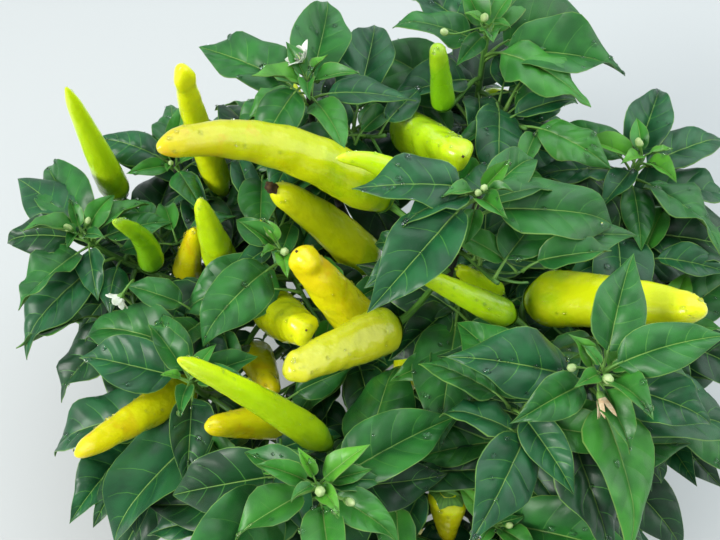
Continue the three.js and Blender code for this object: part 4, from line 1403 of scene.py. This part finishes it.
    def _finer_twigs(self, mass: Mass, shoot: Shoot, j: int) -> None:
        """Grows finer twigs on a side shoot, each with a few smaller leaves at its end."""
        ahead = shoot.curve.way(1.0)
        heading = math.degrees(math.atan2(ahead[1], ahead[0]))
        for k in range(self.finer_twigs):
            share = mix(0.5, 0.92, (k + between(0.2, 0.8, mass.number, j, k, 71)) / self.finer_twigs)
            start = shoot.curve.at(share)
            for attempt in range(4):
                turn = (1 if (k + attempt) % 2 else -1) * between(35, 75, mass.number, j, k, attempt, 72)
                rise = between(5, 50, mass.number, j, k, attempt, 73)
                far = between(16, 30, mass.number, j, k, attempt, 74)
                out = heading + turn
                end = start + towards(out, rise * 0.6) * far
                curve = path(start, towards(out, rise * 0.3), end, towards(out, rise + 15))
                if self._add_shoot(mass, curve, 2, shoot.name):
                    self._twig_leaves(mass.shoots[-1], out, (mass.number, j, k))
                    break

    def _twig_leaves(self, twig: Shoot, heading: float, key: Key) -> None:
        """Grows the leaves of a finer twig: one at its tip and two or three round it."""
        for k in range(4):
            share = (1.0, 0.85, 0.6, 0.35)[k]
            turn = (0, 110, -110, 170)[k] + between(-20, 20, *key, k, 75)
            length = between(34, 62, *key, k, 76)
            youth = 0.75 if length < 42 else 0.35
            self._leaf(twig, share, heading + turn, length, self._hold(share), (*key, k, 77), youth, tries=8)

    def _fill(self, mass: Mass, shoot: Shoot, j: int, again: int) -> None:
        """Grows more leaves along a shoot, in what room is left."""
        turn = between(0, 360, mass.number, j, again, 81)
        for k in range(self.filler_leaves):
            share = mix(0.12 if j else 0.05, 0.95, (k + 0.5) / self.filler_leaves)
            length = between(44, 88, mass.number, j, k, again, 82)
            self._leaf(shoot, share, turn + GOLDEN_ANGLE * k, length, self._hold(share),
                       (mass.number, j, k, again, 83), 0.15, tries=10, clearance=1.0)


@dataclass
class Blade:
    """The fine shape of the leaves: outline, veins, relief and edge."""

    veins: int = 5  # on each side of a full-grown leaf
    young_veins: int = 3
    small: float = 48.0  # a shorter leaf has fewer faces
    vein_half: float = 0.34  # half a side vein's width at the midrib
    midrib_half: float = 0.46  # the same at the leaf's base
    margin: float = 0.4  # width of the pale margin
    thickness: float = 0.46
    bulge: float = 0.115  # of the tissue between two veins
    wave: float = 0.13  # of the margin, both as shares of half the breadth
    arch: float = 0.6  # how far a vein runs on towards the point, as a share of the length

    MARGIN, MIDRIB, VEIN, UNDER = range(1, 5)
    COLUMNS = (0.0, 0.0, 0.28, 0.55, 0.82, 1.0, 1.0)  # midrib, its edge, the blade, the margin's two edges
    YOUNG_COLUMNS = (0.0, 0.0, 0.52, 1.0, 1.0)

    @staticmethod
    def _rows(count: int, half: float, key: Key) -> tuple[Array, ...]:
        """Where the rows of points leave the midrib.

        Args:
            count: How many side veins.
            half: Half a vein's width, as a share of the leaf's length.
            key: Whole numbers that name the leaf.

        Returns:
            The rows' shares of the length, how far each stands off its vein's middle, how far each lies
            between two veins, and which strips are veins.
        """
        jitter = [between(-0.014, 0.014, *key, 20 + k) for k in range(count)]
        at = np.linspace(0.07, 0.76, count) ** 0.95 + jitter
        edges = [0.0, *at, 1.0]
        rows, veins = [(0.0, 0.0, 0.5)], []
        for k in range(count + 1):
            for part in (0.3, 0.65) if k < count else (0.25, 0.5, 0.77):
                rows.append((mix(edges[k], edges[k + 1], part), 0.0, part))
                veins.append(False)
            if k < count:
                rows += [(edges[k + 1], -half, 0.0), (edges[k + 1], half, 0.0)]
                veins += [False, True]
        rows.append((1.0, 0.0, 0.5))
        veins.append(False)
        return *np.array(rows).T.copy(), np.array(veins)

    @staticmethod
    def _outline(x: Array, point: float) -> Array:
        """How wide the fine leaf is along its length, with a drawn-out tip."""
        x = np.clip(x, 0, 1)
        return x ** 0.62 * (1 - x) ** 1.1 / 0.325 * (1 - point * ease(0.5, 0.98, x))

    def draw(self, mesh: Mesh, leaf: Leaf, tone: int, cell: tuple[Array, Array]) -> Array:
        """Adds a leaf's upper face, lower face and edge to a piece.

        Args:
            mesh: The piece.
            leaf: The leaf.
            tone: The number of its blade's finish.
            cell: The corner and size of its two cells on the baked map, the lower face's above the upper's.

        Returns:
            The rows of points of its upper face.
        """
        young = leaf.length < self.small
        key = (*leaf.key, 91)
        length = leaf.length
        s, offset, gap, vein_rows = self._rows(self.young_veins if young else self.veins,
                                               self.vein_half / length, key)
        full = length * leaf.BREADTH * between(0.94, 1.12, *key, 1) * (1 - 0.12 * leaf.youth) / 2
        point = between(0.1, 0.45, *key, 2)
        s_column = s[:, None]
        local = np.maximum(full * self._outline(s, point), 1.2)
        rib = np.minimum(self.midrib_half * (1 - 0.7 * s) * math.sqrt(length / 80), 0.3 * local) / local
        edge = 1 - np.minimum(self.margin, 0.2 * local) / local
        shares = np.array(self.YOUNG_COLUMNS if young else self.COLUMNS)
        w = rib[:, None] + (edge - rib)[:, None] * shares
        w[:, 0] = 0
        w[:, -1] = 1
        w = np.concatenate((-w[:, :0:-1], w), 1)
        across = np.abs(w)
        sign = np.sign(w)
        forward = self.arch * (1 + 0.2 * sign * between(-1, 1, *key, 3)) * across ** 1.3
        x = s_column + offset[:, None] * (1 - 0.75 * across) + forward * s_column ** 0.75 * (1 - s_column)
        x = np.clip(x, 0, 1)
        half = full * self._outline(x, point) * (1 + 0.06 * sign * between(-1, 1, *key, 4))
        relief = self._relief(leaf, key, x, w, half, full)
        swell = self.bulge * between(0.6, 1.6, *key, 11) * half * (1 - 0.3 * leaf.youth)
        swell = swell * np.sin(math.pi * gap)[:, None] * (4 * across * (1 - across)) ** 0.7
        swell = swell * ease(0, 0.15, s_column)
        roll = leaf.roll + between(-44, 44, *key, 12) * (x - 0.3)
        bend = between(-0.13, 0.13, *key, 13) * length * (x - 0.35) ** 2
        left, up = leaf.axes(x, roll)
        y = w * half * 0.97 + bend
        groove = np.where(across < 1e-9, 0.42, 0.0) * (1 - 0.6 * s_column)
        middle = leaf.at(x)
        top = middle + left * y[..., None] + up * (relief + swell - groove)[..., None]
        ridge = np.where(across < 1e-9, 1.05 * (1 - 0.7 * s_column), 0.0)
        vein = 0.3 * (gap[:, None] < 1e-9) * (1 - across) * (across > 0)
        under = middle + left * y[..., None] + up * (relief + swell - self.thickness - ridge - vein)[..., None]
        slots = np.full((2, len(s) - 1, w.shape[1] - 1), self.UNDER)
        slots[0] = tone
        slots[0, vein_rows, 2:-2] = self.VEIN
        slots[0, :, (0, -1)] = self.MARGIN
        middle = slots.shape[2] // 2
        slots[:, :, middle - 1:middle + 1] = self.MIDRIB
        self._add(mesh, (top, under), s, w, slots, cell)
        return top

    def _relief(self, leaf: Leaf, key: Key, x: Array, w: Array, half: Array, full: float) -> Array:
        """How far each point stands up from the level of the midrib: fold, curl, waves and a drooping tip.

        Args:
            leaf: The leaf.
            key: Whole numbers that name it.
            x: Where along the leaf each point lies.
            w: How far from the midrib it lies, from -1 to 1.
            half: Half the breadth there.
            full: Half the breadth where the leaf is widest.

        Returns:
            The heights.
        """
        across, sign = np.abs(w), np.sign(w)
        fold = between(0.08, 0.72, *key, 5) + 0.2 * leaf.youth
        curl = between(0.05, 0.6, *key, 6) * (1 - 1.3 * leaf.youth)
        waves = between(1.1, 2.7, *key, 7)
        phase = sign * between(0, 3, *key, 8) + between(0, 6.3, *key, 9)
        height = self.wave * between(0.4, 2.0, *key, 10) * full * np.minimum(1, 1.8 * half / full)
        wave = np.sin(2 * math.pi * waves * x + phase) + 0.2 * np.sin(2 * math.pi * 1.9 * waves * x + 2 * phase)
        droop = between(-0.2, 0.9, *key, 14) * leaf.length * np.maximum(x - 0.6, 0) ** 2
        bent = half * (fold * across - curl * across ** 2)
        return bent + height * across ** 2.2 * wave * ease(0, 0.2, x) - droop

    def _add(self, mesh: Mesh, faces: tuple[Array, Array], s: Array, w: Array, slots: Array,
             cell: tuple[Array, Array]) -> None:
        """Adds the upper and lower face of a blade and the edges that join them.

        Args:
            mesh: The piece.
            faces: Rows and columns of the points of each face.
            s: The rows' shares of the length.
            w: How far from the midrib each point lies, from -1 to 1.
            slots: The numbers of the finishes of each face.
            cell: The corner and size of the leaf's cells on the baked map.
        """
        corner, size = cell
        place = np.stack(np.broadcast_arrays(s[:, None], w, np.zeros(())), -1)
        for side, points in enumerate(faces):
            quads = grid_faces(*w.shape)
            if side:
                quads = quads[:, (0, 3, 2, 1)]  # turned over, but cut along the same diagonals
            flat = np.stack((np.broadcast_to(s[:, None], w.shape), (w + 1) / 2 * 0.94 + side), -1)
            mesh.add(points, quads, slots[side].ravel(), place, corner + flat * size)
        quads = grid_faces(len(s), 2)
        flat = np.stack((np.repeat(s, 2), np.tile((0.95, 0.98), len(s))), -1)
        for column in (0, -1):
            edge = np.stack([points[:, column] for points in faces], 1)
            mesh.add(edge, quads[:, ::-1] if column else quads, self.MARGIN, flat_map=corner + flat * size)


@dataclass
class Rain:
    """Rain drops that cling to leaves and fruit."""

    sites: list[tuple[Array, Array, float]] = field(default_factory=list)  # place, facing, radius
    sides: int = 7

    RINGS = ((1.0, -0.12), (0.92, 0.4), (0.52, 0.72))  # radius and height, as shares of a drop's own radius

    def wet(self, surface: Array, count: int, size: tuple[float, float], key: Key, outward: int = 1) -> None:
        """Puts drops on the upper side of a surface.

        Args:
            surface: Rows and columns of its points.
            count: How many drops are tried.
            size: The least and the most radius.
            key: Whole numbers that name the surface.
            outward: 1 where its rows crossed with its columns point out of it, -1 where they point inwards.
        """
        rows, columns = surface.shape[:2]
        for k in range(count):
            i = 1 + int(chance(*key, k, 31) * (rows - 3))
            j = 1 + int(chance(*key, k, 32) * (columns - 3))
            share, other = chance(*key, k, 33), chance(*key, k, 34)
            low = mix(surface[i, j], surface[i, j + 1], other)
            high = mix(surface[i + 1, j], surface[i + 1, j + 1], other)
            normal = np.cross(surface[i + 1, j] - surface[i, j], surface[i, j + 1] - surface[i, j])
            length = np.linalg.norm(normal)
            if length < 1e-6:
                continue
            normal = normal / length * outward
            radius = mix(*size, chance(*key, k, 35) ** 1.6)
            if normal[2] > 0.25:
                self.sites.append((mix(low, high, share), normal, radius))

    def build(self, effects: Effects) -> None:
        """Makes the piece."""
        angle = all_round(self.sides)
        rings = [np.stack((r * np.cos(angle), r * np.sin(angle), np.full(self.sides, h)), -1)
                 for r, h in self.RINGS]
        shape = np.concatenate((*rings, ((0, 0, -0.12), (0, 0, 0.82))))
        skin = grid_faces(len(self.RINGS), self.sides, closed=True)
        at, up, radius = (np.array(values) for values in zip(*self.sites))
        along = unit(np.cross(up, (0.31, 0.95, 0.05)))
        aside = np.cross(up, along)
        drop = (shape[:, :1] * 1.18 * along[:, None] + shape[:, 1:2] * aside[:, None]
                + shape[:, 2:] * up[:, None])
        start = (np.arange(len(self.sites)) * len(shape))[:, None, None]
        mesh = Mesh()
        mesh.add(at[:, None] + radius[:, None, None] * drop, (skin + start).reshape(-1, 4), 0)
        mesh.add_faces((cap_faces(len(self.RINGS), self.sides) + start).reshape(-1, 3), 0)
        mesh.build("rain_drops", [WaterFinish().build(effects)], "foliage")


@dataclass
class Foliage:
    """The leaves of all the masses, a piece to each mass."""

    growth: Growth
    rain: Rain
    blade: Blade = field(default_factory=Blade)
    shade: float = 130.0  # a lower leaf is in the shade and is given a darker tone: painted shade
    light: float = 350.0  # a higher one is in the light and is given a lighter tone: painted light
    wet_above: float = 185.0  # higher leaves may have drops
    wet_share: float = 0.6  # how many of them have
    drop_size: tuple[float, float] = (0.6, 2.5)  # the least and the most radius

    def _tone(self, leaf: Leaf) -> int:
        """The number of a leaf's blade finish: lighter for a young leaf, and lighter for a high leaf and darker
        for a low one as painted light and shade.
        """
        height = (leaf.at(0.5)[2] - self.shade) / (self.light - self.shade)
        # the height term is painted light and shade; youth and chance give the leaves' own tones
        value = 0.3 + 1.6 * min(max(height, 0), 1) + 2.6 * leaf.youth + between(-1.2, 1.2, *leaf.key, 95)
        return int(min(max(value, 0), len(LeafTone) - 1))

    def build(self, effects: Effects) -> None:
        """Makes the pieces."""
        fixed = [part.value.build(effects) for part in LeafPart]
        tones = [tone.value.build(effects) for tone in LeafTone]
        for mass in self.growth.masses:
            leaves = [leaf for shoot in mass.shoots for leaf in shoot.leaves]
            mesh = Mesh()
            across = math.ceil(math.sqrt(len(leaves)))
            down = math.ceil(len(leaves) / across)
            size = np.array((0.96 / across, 0.48 / down))
            for k, leaf in enumerate(leaves):
                corner = np.array((k % across / across, k // across / down))
                top = self.blade.draw(mesh, leaf, len(fixed) + 1 + self._tone(leaf), (corner, size))
                if leaf.foot[2] > self.wet_above and chance(*leaf.key, 96) < self.wet_share:
                    count = int(between(3, 16, *leaf.key, 97) * leaf.length / 70)
                    self.rain.wet(top, count, self.drop_size, (*leaf.key, 98))
            materials = [tones[0], *fixed, *tones]
            mesh.build("leaves_" + mass.name, materials, "foliage", ["foliage_" + mass.name], mapped=True)
            log.info("  of %d leaves", len(leaves))


@dataclass
class Woodwork:
    """The stem, the boughs and the limbs as one piece, with the relief of their bark."""

    growth: Growth
    flare_height: float = 22.0  # how far up the stem its foot is flared
    ridge: float = 0.035  # depth of the long ridges, as a share of the radius
    collar: float = 0.22  # swelling where a limb leaves its fork

    def _stem(self, mesh: Mesh) -> None:
        """Adds the stem, from its flat cut to its fork."""
        flare, foot, fork = self.growth.stem_radius

        def radius(t: Array) -> Array:
            """The stem's radius."""
            return mix(foot, fork, t) + (flare - foot) * np.clip(1 - t * FORK[2] / self.flare_height, 0, 1) ** 2

        def relief(angle: Array, along: Array) -> Array:
            """Five roots that spread at the foot, long ridges, and cracks that run up between them."""
            roots = 0.13 * np.cos(5 * angle + 0.6) * np.exp(-along / 11)
            ridges = self.ridge * np.cos(5 * angle + 0.02 * along)
            cracks = 0.022 * ripple(angle, along, 16, 26, 301) + 0.014 * ripple(angle, along, 34, 12, 302)
            return 1 + roots + ridges + cracks

        add_tube(mesh, self.growth.stem, radius, 0, steps=70, sides=56, relief=relief)
        points = mesh.points[-1]
        points[:, 2] = np.maximum(points[:, 2], 0)

    def _limb(self, mesh: Mesh, curve: Curve, ends: tuple[float, float], number: int, slot: int = 0) -> None:
        """Adds a bough or a limb.

        Args:
            mesh: The piece.
            curve: Its middle line.
            ends: Its radius at its root and tip.
            number: A number that its unevenness is drawn by.
            slot: The number of its finish.
        """
        length = curve.length()

        def radius(t: Array) -> Array:
            """The limb's radius, with a collar at its root."""
            return mix(*ends, t) * (1 + self.collar * np.exp(-(t * length / 6) ** 2)
                                    + 0.12 * np.exp(-((1 - t) * length / 5) ** 2))

        def relief(angle: Array, along: Array) -> Array:
            """Long ridges and a slight unevenness."""
            ridges = 1.3 * self.ridge * np.cos(5 * angle + 0.015 * along + number)
            return 1 + ridges + 0.02 * ripple(angle, along, 9, 22, number, 303)

        add_tube(mesh, curve, radius, slot, steps=max(10, round(length / 3)), sides=24, relief=relief)

    def build(self, effects: Effects) -> None:
        """Makes the piece, which replaces the solids of the stem, the boughs and the limbs."""
        mesh = Mesh()
        self._stem(mesh)
        for number, curve in enumerate(self.growth.boughs.values()):
            self._limb(mesh, curve, self.growth.bough_radius, number)
        for mass in self.growth.masses:
            self._limb(mesh, mass.limb, self.growth.limb_radius, 10 + mass.number, int(mass.dark))
        solids = ["stem", *("bough_" + name for name in BOUGHS), *("limb_" + name for name in MASSES)]
        materials = [StemTone.BARK.value.build(effects), StemTone.DARK_TWIG.value.build(effects)]
        mesh.build("stem_and_boughs", materials, "stem", solids)


@dataclass
class Twigs:
    """The leaders, shoots and finer twigs, the stalks of the fruit and the stalks of the leaves."""

    growth: Growth
    node_swell: float = 0.3  # where a twig leaves another

    GREEN, DARK, FRUIT_STALK = range(3)

    def _twig(self, mesh: Mesh, shoot: Shoot, number: int, slot: int) -> None:
        """Adds a twig, swollen at its root, with five soft ridges and a slight unevenness."""
        length = shoot.curve.length()
        add_tube(mesh, shoot.curve,
                 lambda t: shoot.radius(t) * (1 + self.node_swell * np.exp(-(t * length / 3.5) ** 2)),
                 slot, max(6, round(length / 6)), 12 if shoot.order == 0 else 8,
                 lambda angle, along: (1 + 0.06 * np.cos(5 * angle + number)
                                       + 0.03 * ripple(angle, along, 3, 16, number, 305)))

    def _fruit_stalk(self, mesh: Mesh, fruit: Fruit, number: int) -> None:
        """Adds the curved, five-ridged stalk of a fruit, thickest where it meets the cup."""
        add_tube(mesh, fruit.twig, lambda t: mix(*fruit.TWIG, t) * (1 + 0.3 * ease(0.8, 1.0, t)),
                 self.FRUIT_STALK, steps=14, sides=15,
                 relief=lambda angle, along: 1 + 0.08 * np.cos(5 * angle + number))

    @staticmethod
    def _leaf_stalk(mesh: Mesh, leaf: Leaf) -> None:
        """Adds a leaf's stalk, which runs on into its midrib."""
        thick = 0.5 + 0.008 * leaf.length
        inward = leaf.at(0.06)
        curve = path(leaf.foot, towards(leaf.heading, leaf.rise + 14), inward, leaf.at(0.07) - leaf.at(0.05))
        add_tube(mesh, curve, lambda t: thick * (1.25 - 0.5 * t + 0.5 * np.exp(-(t / 0.12) ** 2)), 0,
                 steps=6, sides=5)

    def build(self, effects: Effects) -> None:
        """Makes the pieces."""
        twigs, stalks = Mesh(), Mesh()
        for mass in self.growth.masses:
            for j, shoot in enumerate(mass.shoots):
                slot = self.DARK if shoot.order == 0 and mass.dark else self.GREEN
                self._twig(twigs, shoot, mass.number * 100 + j, slot)
                for leaf in shoot.leaves:
                    self._leaf_stalk(stalks, leaf)
        for number, fruit in enumerate(FRUIT):
            self._fruit_stalk(twigs, fruit, number)
        tones = (StemTone.TWIG, StemTone.DARK_TWIG, StemTone.FRUIT_STALK)
        twigs.build("twigs", [tone.value.build(effects) for tone in tones], "bough")
        stalks.build("leaf_stalks", [StemTone.STALK.value.build(effects)], "foliage")


@dataclass
class Crop:
    """The fruit, with their cups and what is left of their flowers."""

    rain: Rain
    drops: int = 70  # tried on each fruit
    drop_size: tuple[float, float] = (0.4, 1.5)  # the least and the most radius

    def build(self, effects: Effects) -> None:
        """Makes the pieces: the fruit of each skin, the cups and the dried remnants."""
        cups, remnants = Mesh(), Mesh()
        for skin in Skin:
            mesh = Mesh()
            for number, fruit in enumerate(FRUIT):
                if fruit.skin is not skin:
                    continue
                points, places = fruit.surface(number)
                add_sheet(mesh, points, 0, places, closed=True)
                self.rain.wet(points, self.drops, self.drop_size, (number, 400), outward=-1)
                fruit.draw_cup(cups, number)
                if fruit.remnant:
                    fruit.draw_remnant(remnants)
            mesh.build("fruit_" + skin.name.lower(), [skin.value.build(effects)], "fruit")
        cups.build("fruit_cups", [StemTone.FRUIT_STALK.value.build(effects)], "foliage")
        brown = PetalFinish("dried remnant", (0.100, 0.052, 0.018), (0.036, 0.019, 0.009), 0.8)
        remnants.build("fruit_remnants", [brown.build(effects)], "fruit")


class Stage(Enum):
    """How far on a flower is: degrees that its petals rise, and how much they hang."""

    BUD = (0.0, 0.0)
    OPEN = (40.0, 0.15)
    FADED = (62.0, -0.15)


@dataclass
class Flower:
    """One flower or bud."""

    mass: str
    offset: Sequence[float]  # of its cup from the tip of the mass's leader
    facing: Sequence[float]  # which way it opens
    stage: Stage = Stage.BUD
    size: float = 1.0  # as a share of the usual


# The flowers that show, as they stand at the tips
FLOWERS = [
    Flower("back", (-2, 10, 7), (-0.55, 0.15, 0.8), Stage.OPEN, 1.2),
    Flower("left", (40, -55, 12), (-0.55, -0.55, -0.5), Stage.OPEN),
    Flower("right", (-3, -11, -2), (0.2, -0.7, -0.2), Stage.FADED, 1.1),
    Flower("right", (-17, 1, 6), (-0.6, -0.3, 0.6)),
    Flower("right", (-1, -5, 6), (0.1, -0.5, 0.7), size=1.2),
    Flower("right", (10, -5, 6), (0.6, -0.3, 0.6)),
    Flower("front", (2, -5, 8), (0.1, -0.4, 0.8), size=1.2),
    Flower("front", (16, -10, 6), (0.6, -0.4, 0.5)),
    Flower("back_right", (-32, -19, 13), (-0.5, -0.4, 0.6), size=1.1),
    Flower("back_right", (-6, -7, 13), (0, -0.3, 0.8), size=1.2),
]


@dataclass
class Blossom:
    """The flowers and buds, with their cups and stalks."""

    growth: Growth
    petals: int = 6  # of a flower
    petal_length: float = 10.5
    petal_half: float = 4.1  # half its breadth
    bud_spread: float = 10.0  # how far from a tip the buds stand

    GREEN, BUD, PETAL, FADED, ANTHER, PISTIL = range(6)
    STATIONS = np.linspace(0, 1, 8)
    BUD_SHAPE = np.array(((0.8, 1.6), (2.2, 2.1), (4.0, 2.35), (5.6, 1.9), (6.8, 1.1), (7.4, 0.3), (7.5, 0)))
    CUP_SHAPE = np.array(((-1.2, 0.0), (-1.1, 0.8), (-0.3, 1.5), (1.0, 2.0), (2.3, 2.35), (2.5, 2.1)))
    ANTHER_SHAPE = ((0, 0.25), (1.7, 0.25), (1.9, 0.65), (3.4, 0.7), (4.3, 0.35), (4.5, 0))
    PISTIL_SHAPE = ((0, 1.1), (1.5, 1.2), (2.3, 0.35), (5.2, 0.3), (5.6, 0.45), (5.9, 0))

    def __post_init__(self) -> None:
        """Starts the piece."""
        self.mesh = Mesh()

    def _all(self) -> list[Flower]:
        """The flowers of the table, and a pair of buds at each tip that has none."""
        rows = list(FLOWERS)
        busy = {flower.mass for flower in FLOWERS if flower.stage is Stage.BUD or flower.mass == "back"}
        for mass in self.growth.masses:
            for k in range(0 if mass.name in busy else 2):
                way = towards(between(0, 360, mass.number, k, 501), between(35, 70, mass.number, k, 502))
                size = between(0.75, 1.15, mass.number, k, 503)
                rows.append(Flower(mass.name, way * self.bud_spread, way + 0.3 * UP, Stage.BUD, size))
        return rows

    def _stalk(self, mass: Mass, at: Array, facing: Array) -> None:
        """Adds the thin stalk from the nearest twig to a flower's cup."""
        shares = np.linspace(0.3, 1, 15)
        feet = np.concatenate([shoot.curve.at(shares) for shoot in mass.shoots])
        far = np.linalg.norm(feet - at, axis=1) + 2.0 * np.maximum(0, feet[:, 2] - at[2])
        foot = feet[np.argmin(far)]
        curve = path(foot, at - foot + UP * 6, at, facing, 0.45)
        add_tube(self.mesh, curve, lambda t: 0.55 + 0.35 * t ** 3, self.GREEN, steps=9, sides=7)

    def _petal(self, at: Array, facing: Array, out: Array, flower: Flower, key: Key) -> None:
        """Adds one petal, pointed, with a crease along its middle.

        Args:
            at: The middle of the flower.
            facing: Which way the flower opens.
            out: The petal's direction from the middle.
            flower: The flower.
            key: Whole numbers that name the petal.
        """
        rise, hang = flower.stage.value
        rise = math.radians(rise + between(-9, 9, *key, 1))
        length = self.petal_length * flower.size * between(0.9, 1.1, *key, 2)
        s = self.STATIONS[:, None]
        w = np.linspace(-1, 1, 5)[None]
        ahead = length * (0.13 + s * math.cos(rise))
        lift = length * (s * math.sin(rise) - hang * s ** 2)
        shape = (s + 0.16) ** 0.55 * (1 - s) ** 0.7 / 0.66
        narrow = 0.5 if flower.stage is Stage.FADED else 1.0
        half = self.petal_half * flower.size * shape * narrow
        crease = 0.16 * half * np.abs(w) + 0.25 * np.sin(5 * s + between(0, 6, *key, 3)) * w
        side = np.cross(facing, out)
        aside = half * w + length * 0.12 * between(-1, 1, *key, 4) * s ** 2
        top = at + out * ahead[..., None] + facing * (lift + crease)[..., None] + side * aside[..., None]
        slot = self.FADED if flower.stage is Stage.FADED else self.PETAL
        under = top - facing * 0.3
        edges = np.stack((under[:, 0], top[:, 0]), 1), np.stack((top[:, -1], under[:, -1]), 1)
        for sheet in (top, under[:, ::-1], *edges):
            add_sheet(self.mesh, sheet, slot)

    def _corolla(self, at: Array, facing: Array, flower: Flower, number: int) -> None:
        """Adds the petals of a flower, its ring of anthers and its pistil."""
        first = unit(np.cross(facing, (0.2, 0.9, 0.1)))
        second = np.cross(facing, first)
        middle = at + facing * 1.8 * flower.size
        for k in range(self.petals):
            turn = 2 * math.pi * (k + between(-0.1, 0.1, number, k, 511)) / self.petals
            out = first * math.cos(turn) + second * math.sin(turn)
            self._petal(middle, facing, out, flower, (number, k, 512))
            half_turn = turn + math.pi / self.petals
            inner = first * math.cos(half_turn) + second * math.sin(half_turn)
            foot = middle + inner * 1.6 * flower.size
            add_spindle(self.mesh, foot, facing + 0.25 * inner, self.ANTHER_SHAPE, self.ANTHER, sides=6)
        add_spindle(self.mesh, middle, facing, self.PISTIL_SHAPE, self.PISTIL, sides=8)

    def build(self, effects: Effects) -> None:
        """Makes the piece."""
        masses = {mass.name: mass for mass in self.growth.masses}
        for number, flower in enumerate(self._all()):
            mass = masses[flower.mass]
            at = mass.top + np.array(flower.offset, float)
            facing = unit(np.array(flower.facing, float))
            self._stalk(mass, at, facing)
            add_spindle(self.mesh, at, facing, self.CUP_SHAPE * flower.size, self.GREEN, sides=15, ribs=0.05)
            if flower.stage is Stage.BUD:
                add_spindle(self.mesh, at, facing, self.BUD_SHAPE * flower.size, self.BUD, sides=18, ribs=0.06,
                            rib_count=6)
            else:
                self._corolla(at, facing, flower, number)
        finishes = (
            StemTone.STALK.value,
            PetalFinish("flower bud", (0.52, 0.62, 0.30), (0.34, 0.48, 0.17)),
            PetalFinish("white petal", (0.86, 0.87, 0.80), (0.70, 0.74, 0.60)),
            PetalFinish("faded petal", (0.80, 0.66, 0.44), (0.58, 0.40, 0.22)),
            PetalFinish("anther", (0.30, 0.34, 0.22), (0.14, 0.16, 0.16)),
            PetalFinish("pistil", (0.60, 0.68, 0.28), (0.40, 0.52, 0.18)),
        )
        self.mesh.build("flowers_and_buds", [finish.build(effects) for finish in finishes], "blossom")


@dataclass
class Studio:
    """The floor, the lights and the camera."""

    eye: tuple[float, float, float] = (-0.010, -0.290, 0.782)  # of the camera, in metres
    down: float = 60.0  # degrees that it looks down
    lens: float = 43.45  # for a sensor 36 mm wide

    # name: where it stands and how wide it is, in metres, its power in watts, and its colour
    LAMPS = {
        "key": ((-1.3, -0.75, 1.35), 0.8, 31.0, (1.0, 0.99, 0.96)),
        "side": ((1.5, 0.1, 1.0), 1.3, 9.0, (1.0, 1.0, 1.0)),
        "overhead": ((0.4, 0.8, 1.7), 1.8, 21.0, (0.84, 0.95, 1.0)),
    }
    FLOOR_HALF = 6.0
    SENSOR = 36.0

    def _lamp(self, name: str) -> None:
        """Adds a soft square lamp that faces the plant."""
        at, size, power, colour = self.LAMPS[name]
        data = bpy.data.lights.new(name, "AREA")
        data.size = size
        data.energy = power
        data.color = colour
        lamp = bpy.data.objects.new(name, data)
        lamp.location = at
        aim = np.array((0.0, 0.0, 0.25)) - np.array(at)
        flat = math.hypot(aim[0], aim[1])
        lamp.rotation_euler = (math.atan2(flat, -aim[2]), 0.0, math.atan2(-aim[0], aim[1]))
        bpy.context.scene.collection.objects.link(lamp)

    def build(self, effects: Effects) -> None:
        """Sets up the studio."""
        scene = bpy.context.scene
        mesh = bpy.data.meshes.new("floor")
        wide = self.FLOOR_HALF
        corners = [(-wide, -wide, 0), (wide, -wide, 0), (wide, wide, 0), (-wide, wide, 0)]
        mesh.from_pydata(corners, [], [(0, 1, 2, 3)])
        mesh.materials.append(FloorFinish().build(effects))
        floor = bpy.data.objects.new("floor", mesh)
        scene.collection.objects.link(floor)

        world = bpy.data.worlds.new("studio")
        world.use_nodes = True
        sky = world.node_tree.nodes["Background"]
        Nodes(world.node_tree).give(sky, {"Color": (0.88, 0.94, 1.0), "Strength": 0.72})
        scene.world = world
        for name in self.LAMPS:
            self._lamp(name)
        scene.view_settings.view_transform = "Standard"

        data = bpy.data.cameras.new("camera")
        data.lens = self.lens
        data.sensor_width = self.SENSOR
        camera = bpy.data.objects.new("camera", data)
        camera.location = self.eye
        camera.rotation_euler = (math.radians(90 - self.down), 0.0, 0.0)
        scene.collection.objects.link(camera)
        scene.camera = camera


def main() -> None:
    """Grows the plant, dresses it and sets up the studio."""
    logging.basicConfig(level=logging.INFO, format="%(message)s")
    effects = Effects()
    growth = Growth()
    growth.grow()
    rain = Rain()
    Woodwork(growth).build(effects)
    Twigs(growth).build(effects)
    Foliage(growth, rain).build(effects)
    Crop(rain).build(effects)
    Blossom(growth).build(effects)
    rain.build(effects)
    Studio().build(effects)


if __name__ == "__main__":
    main()
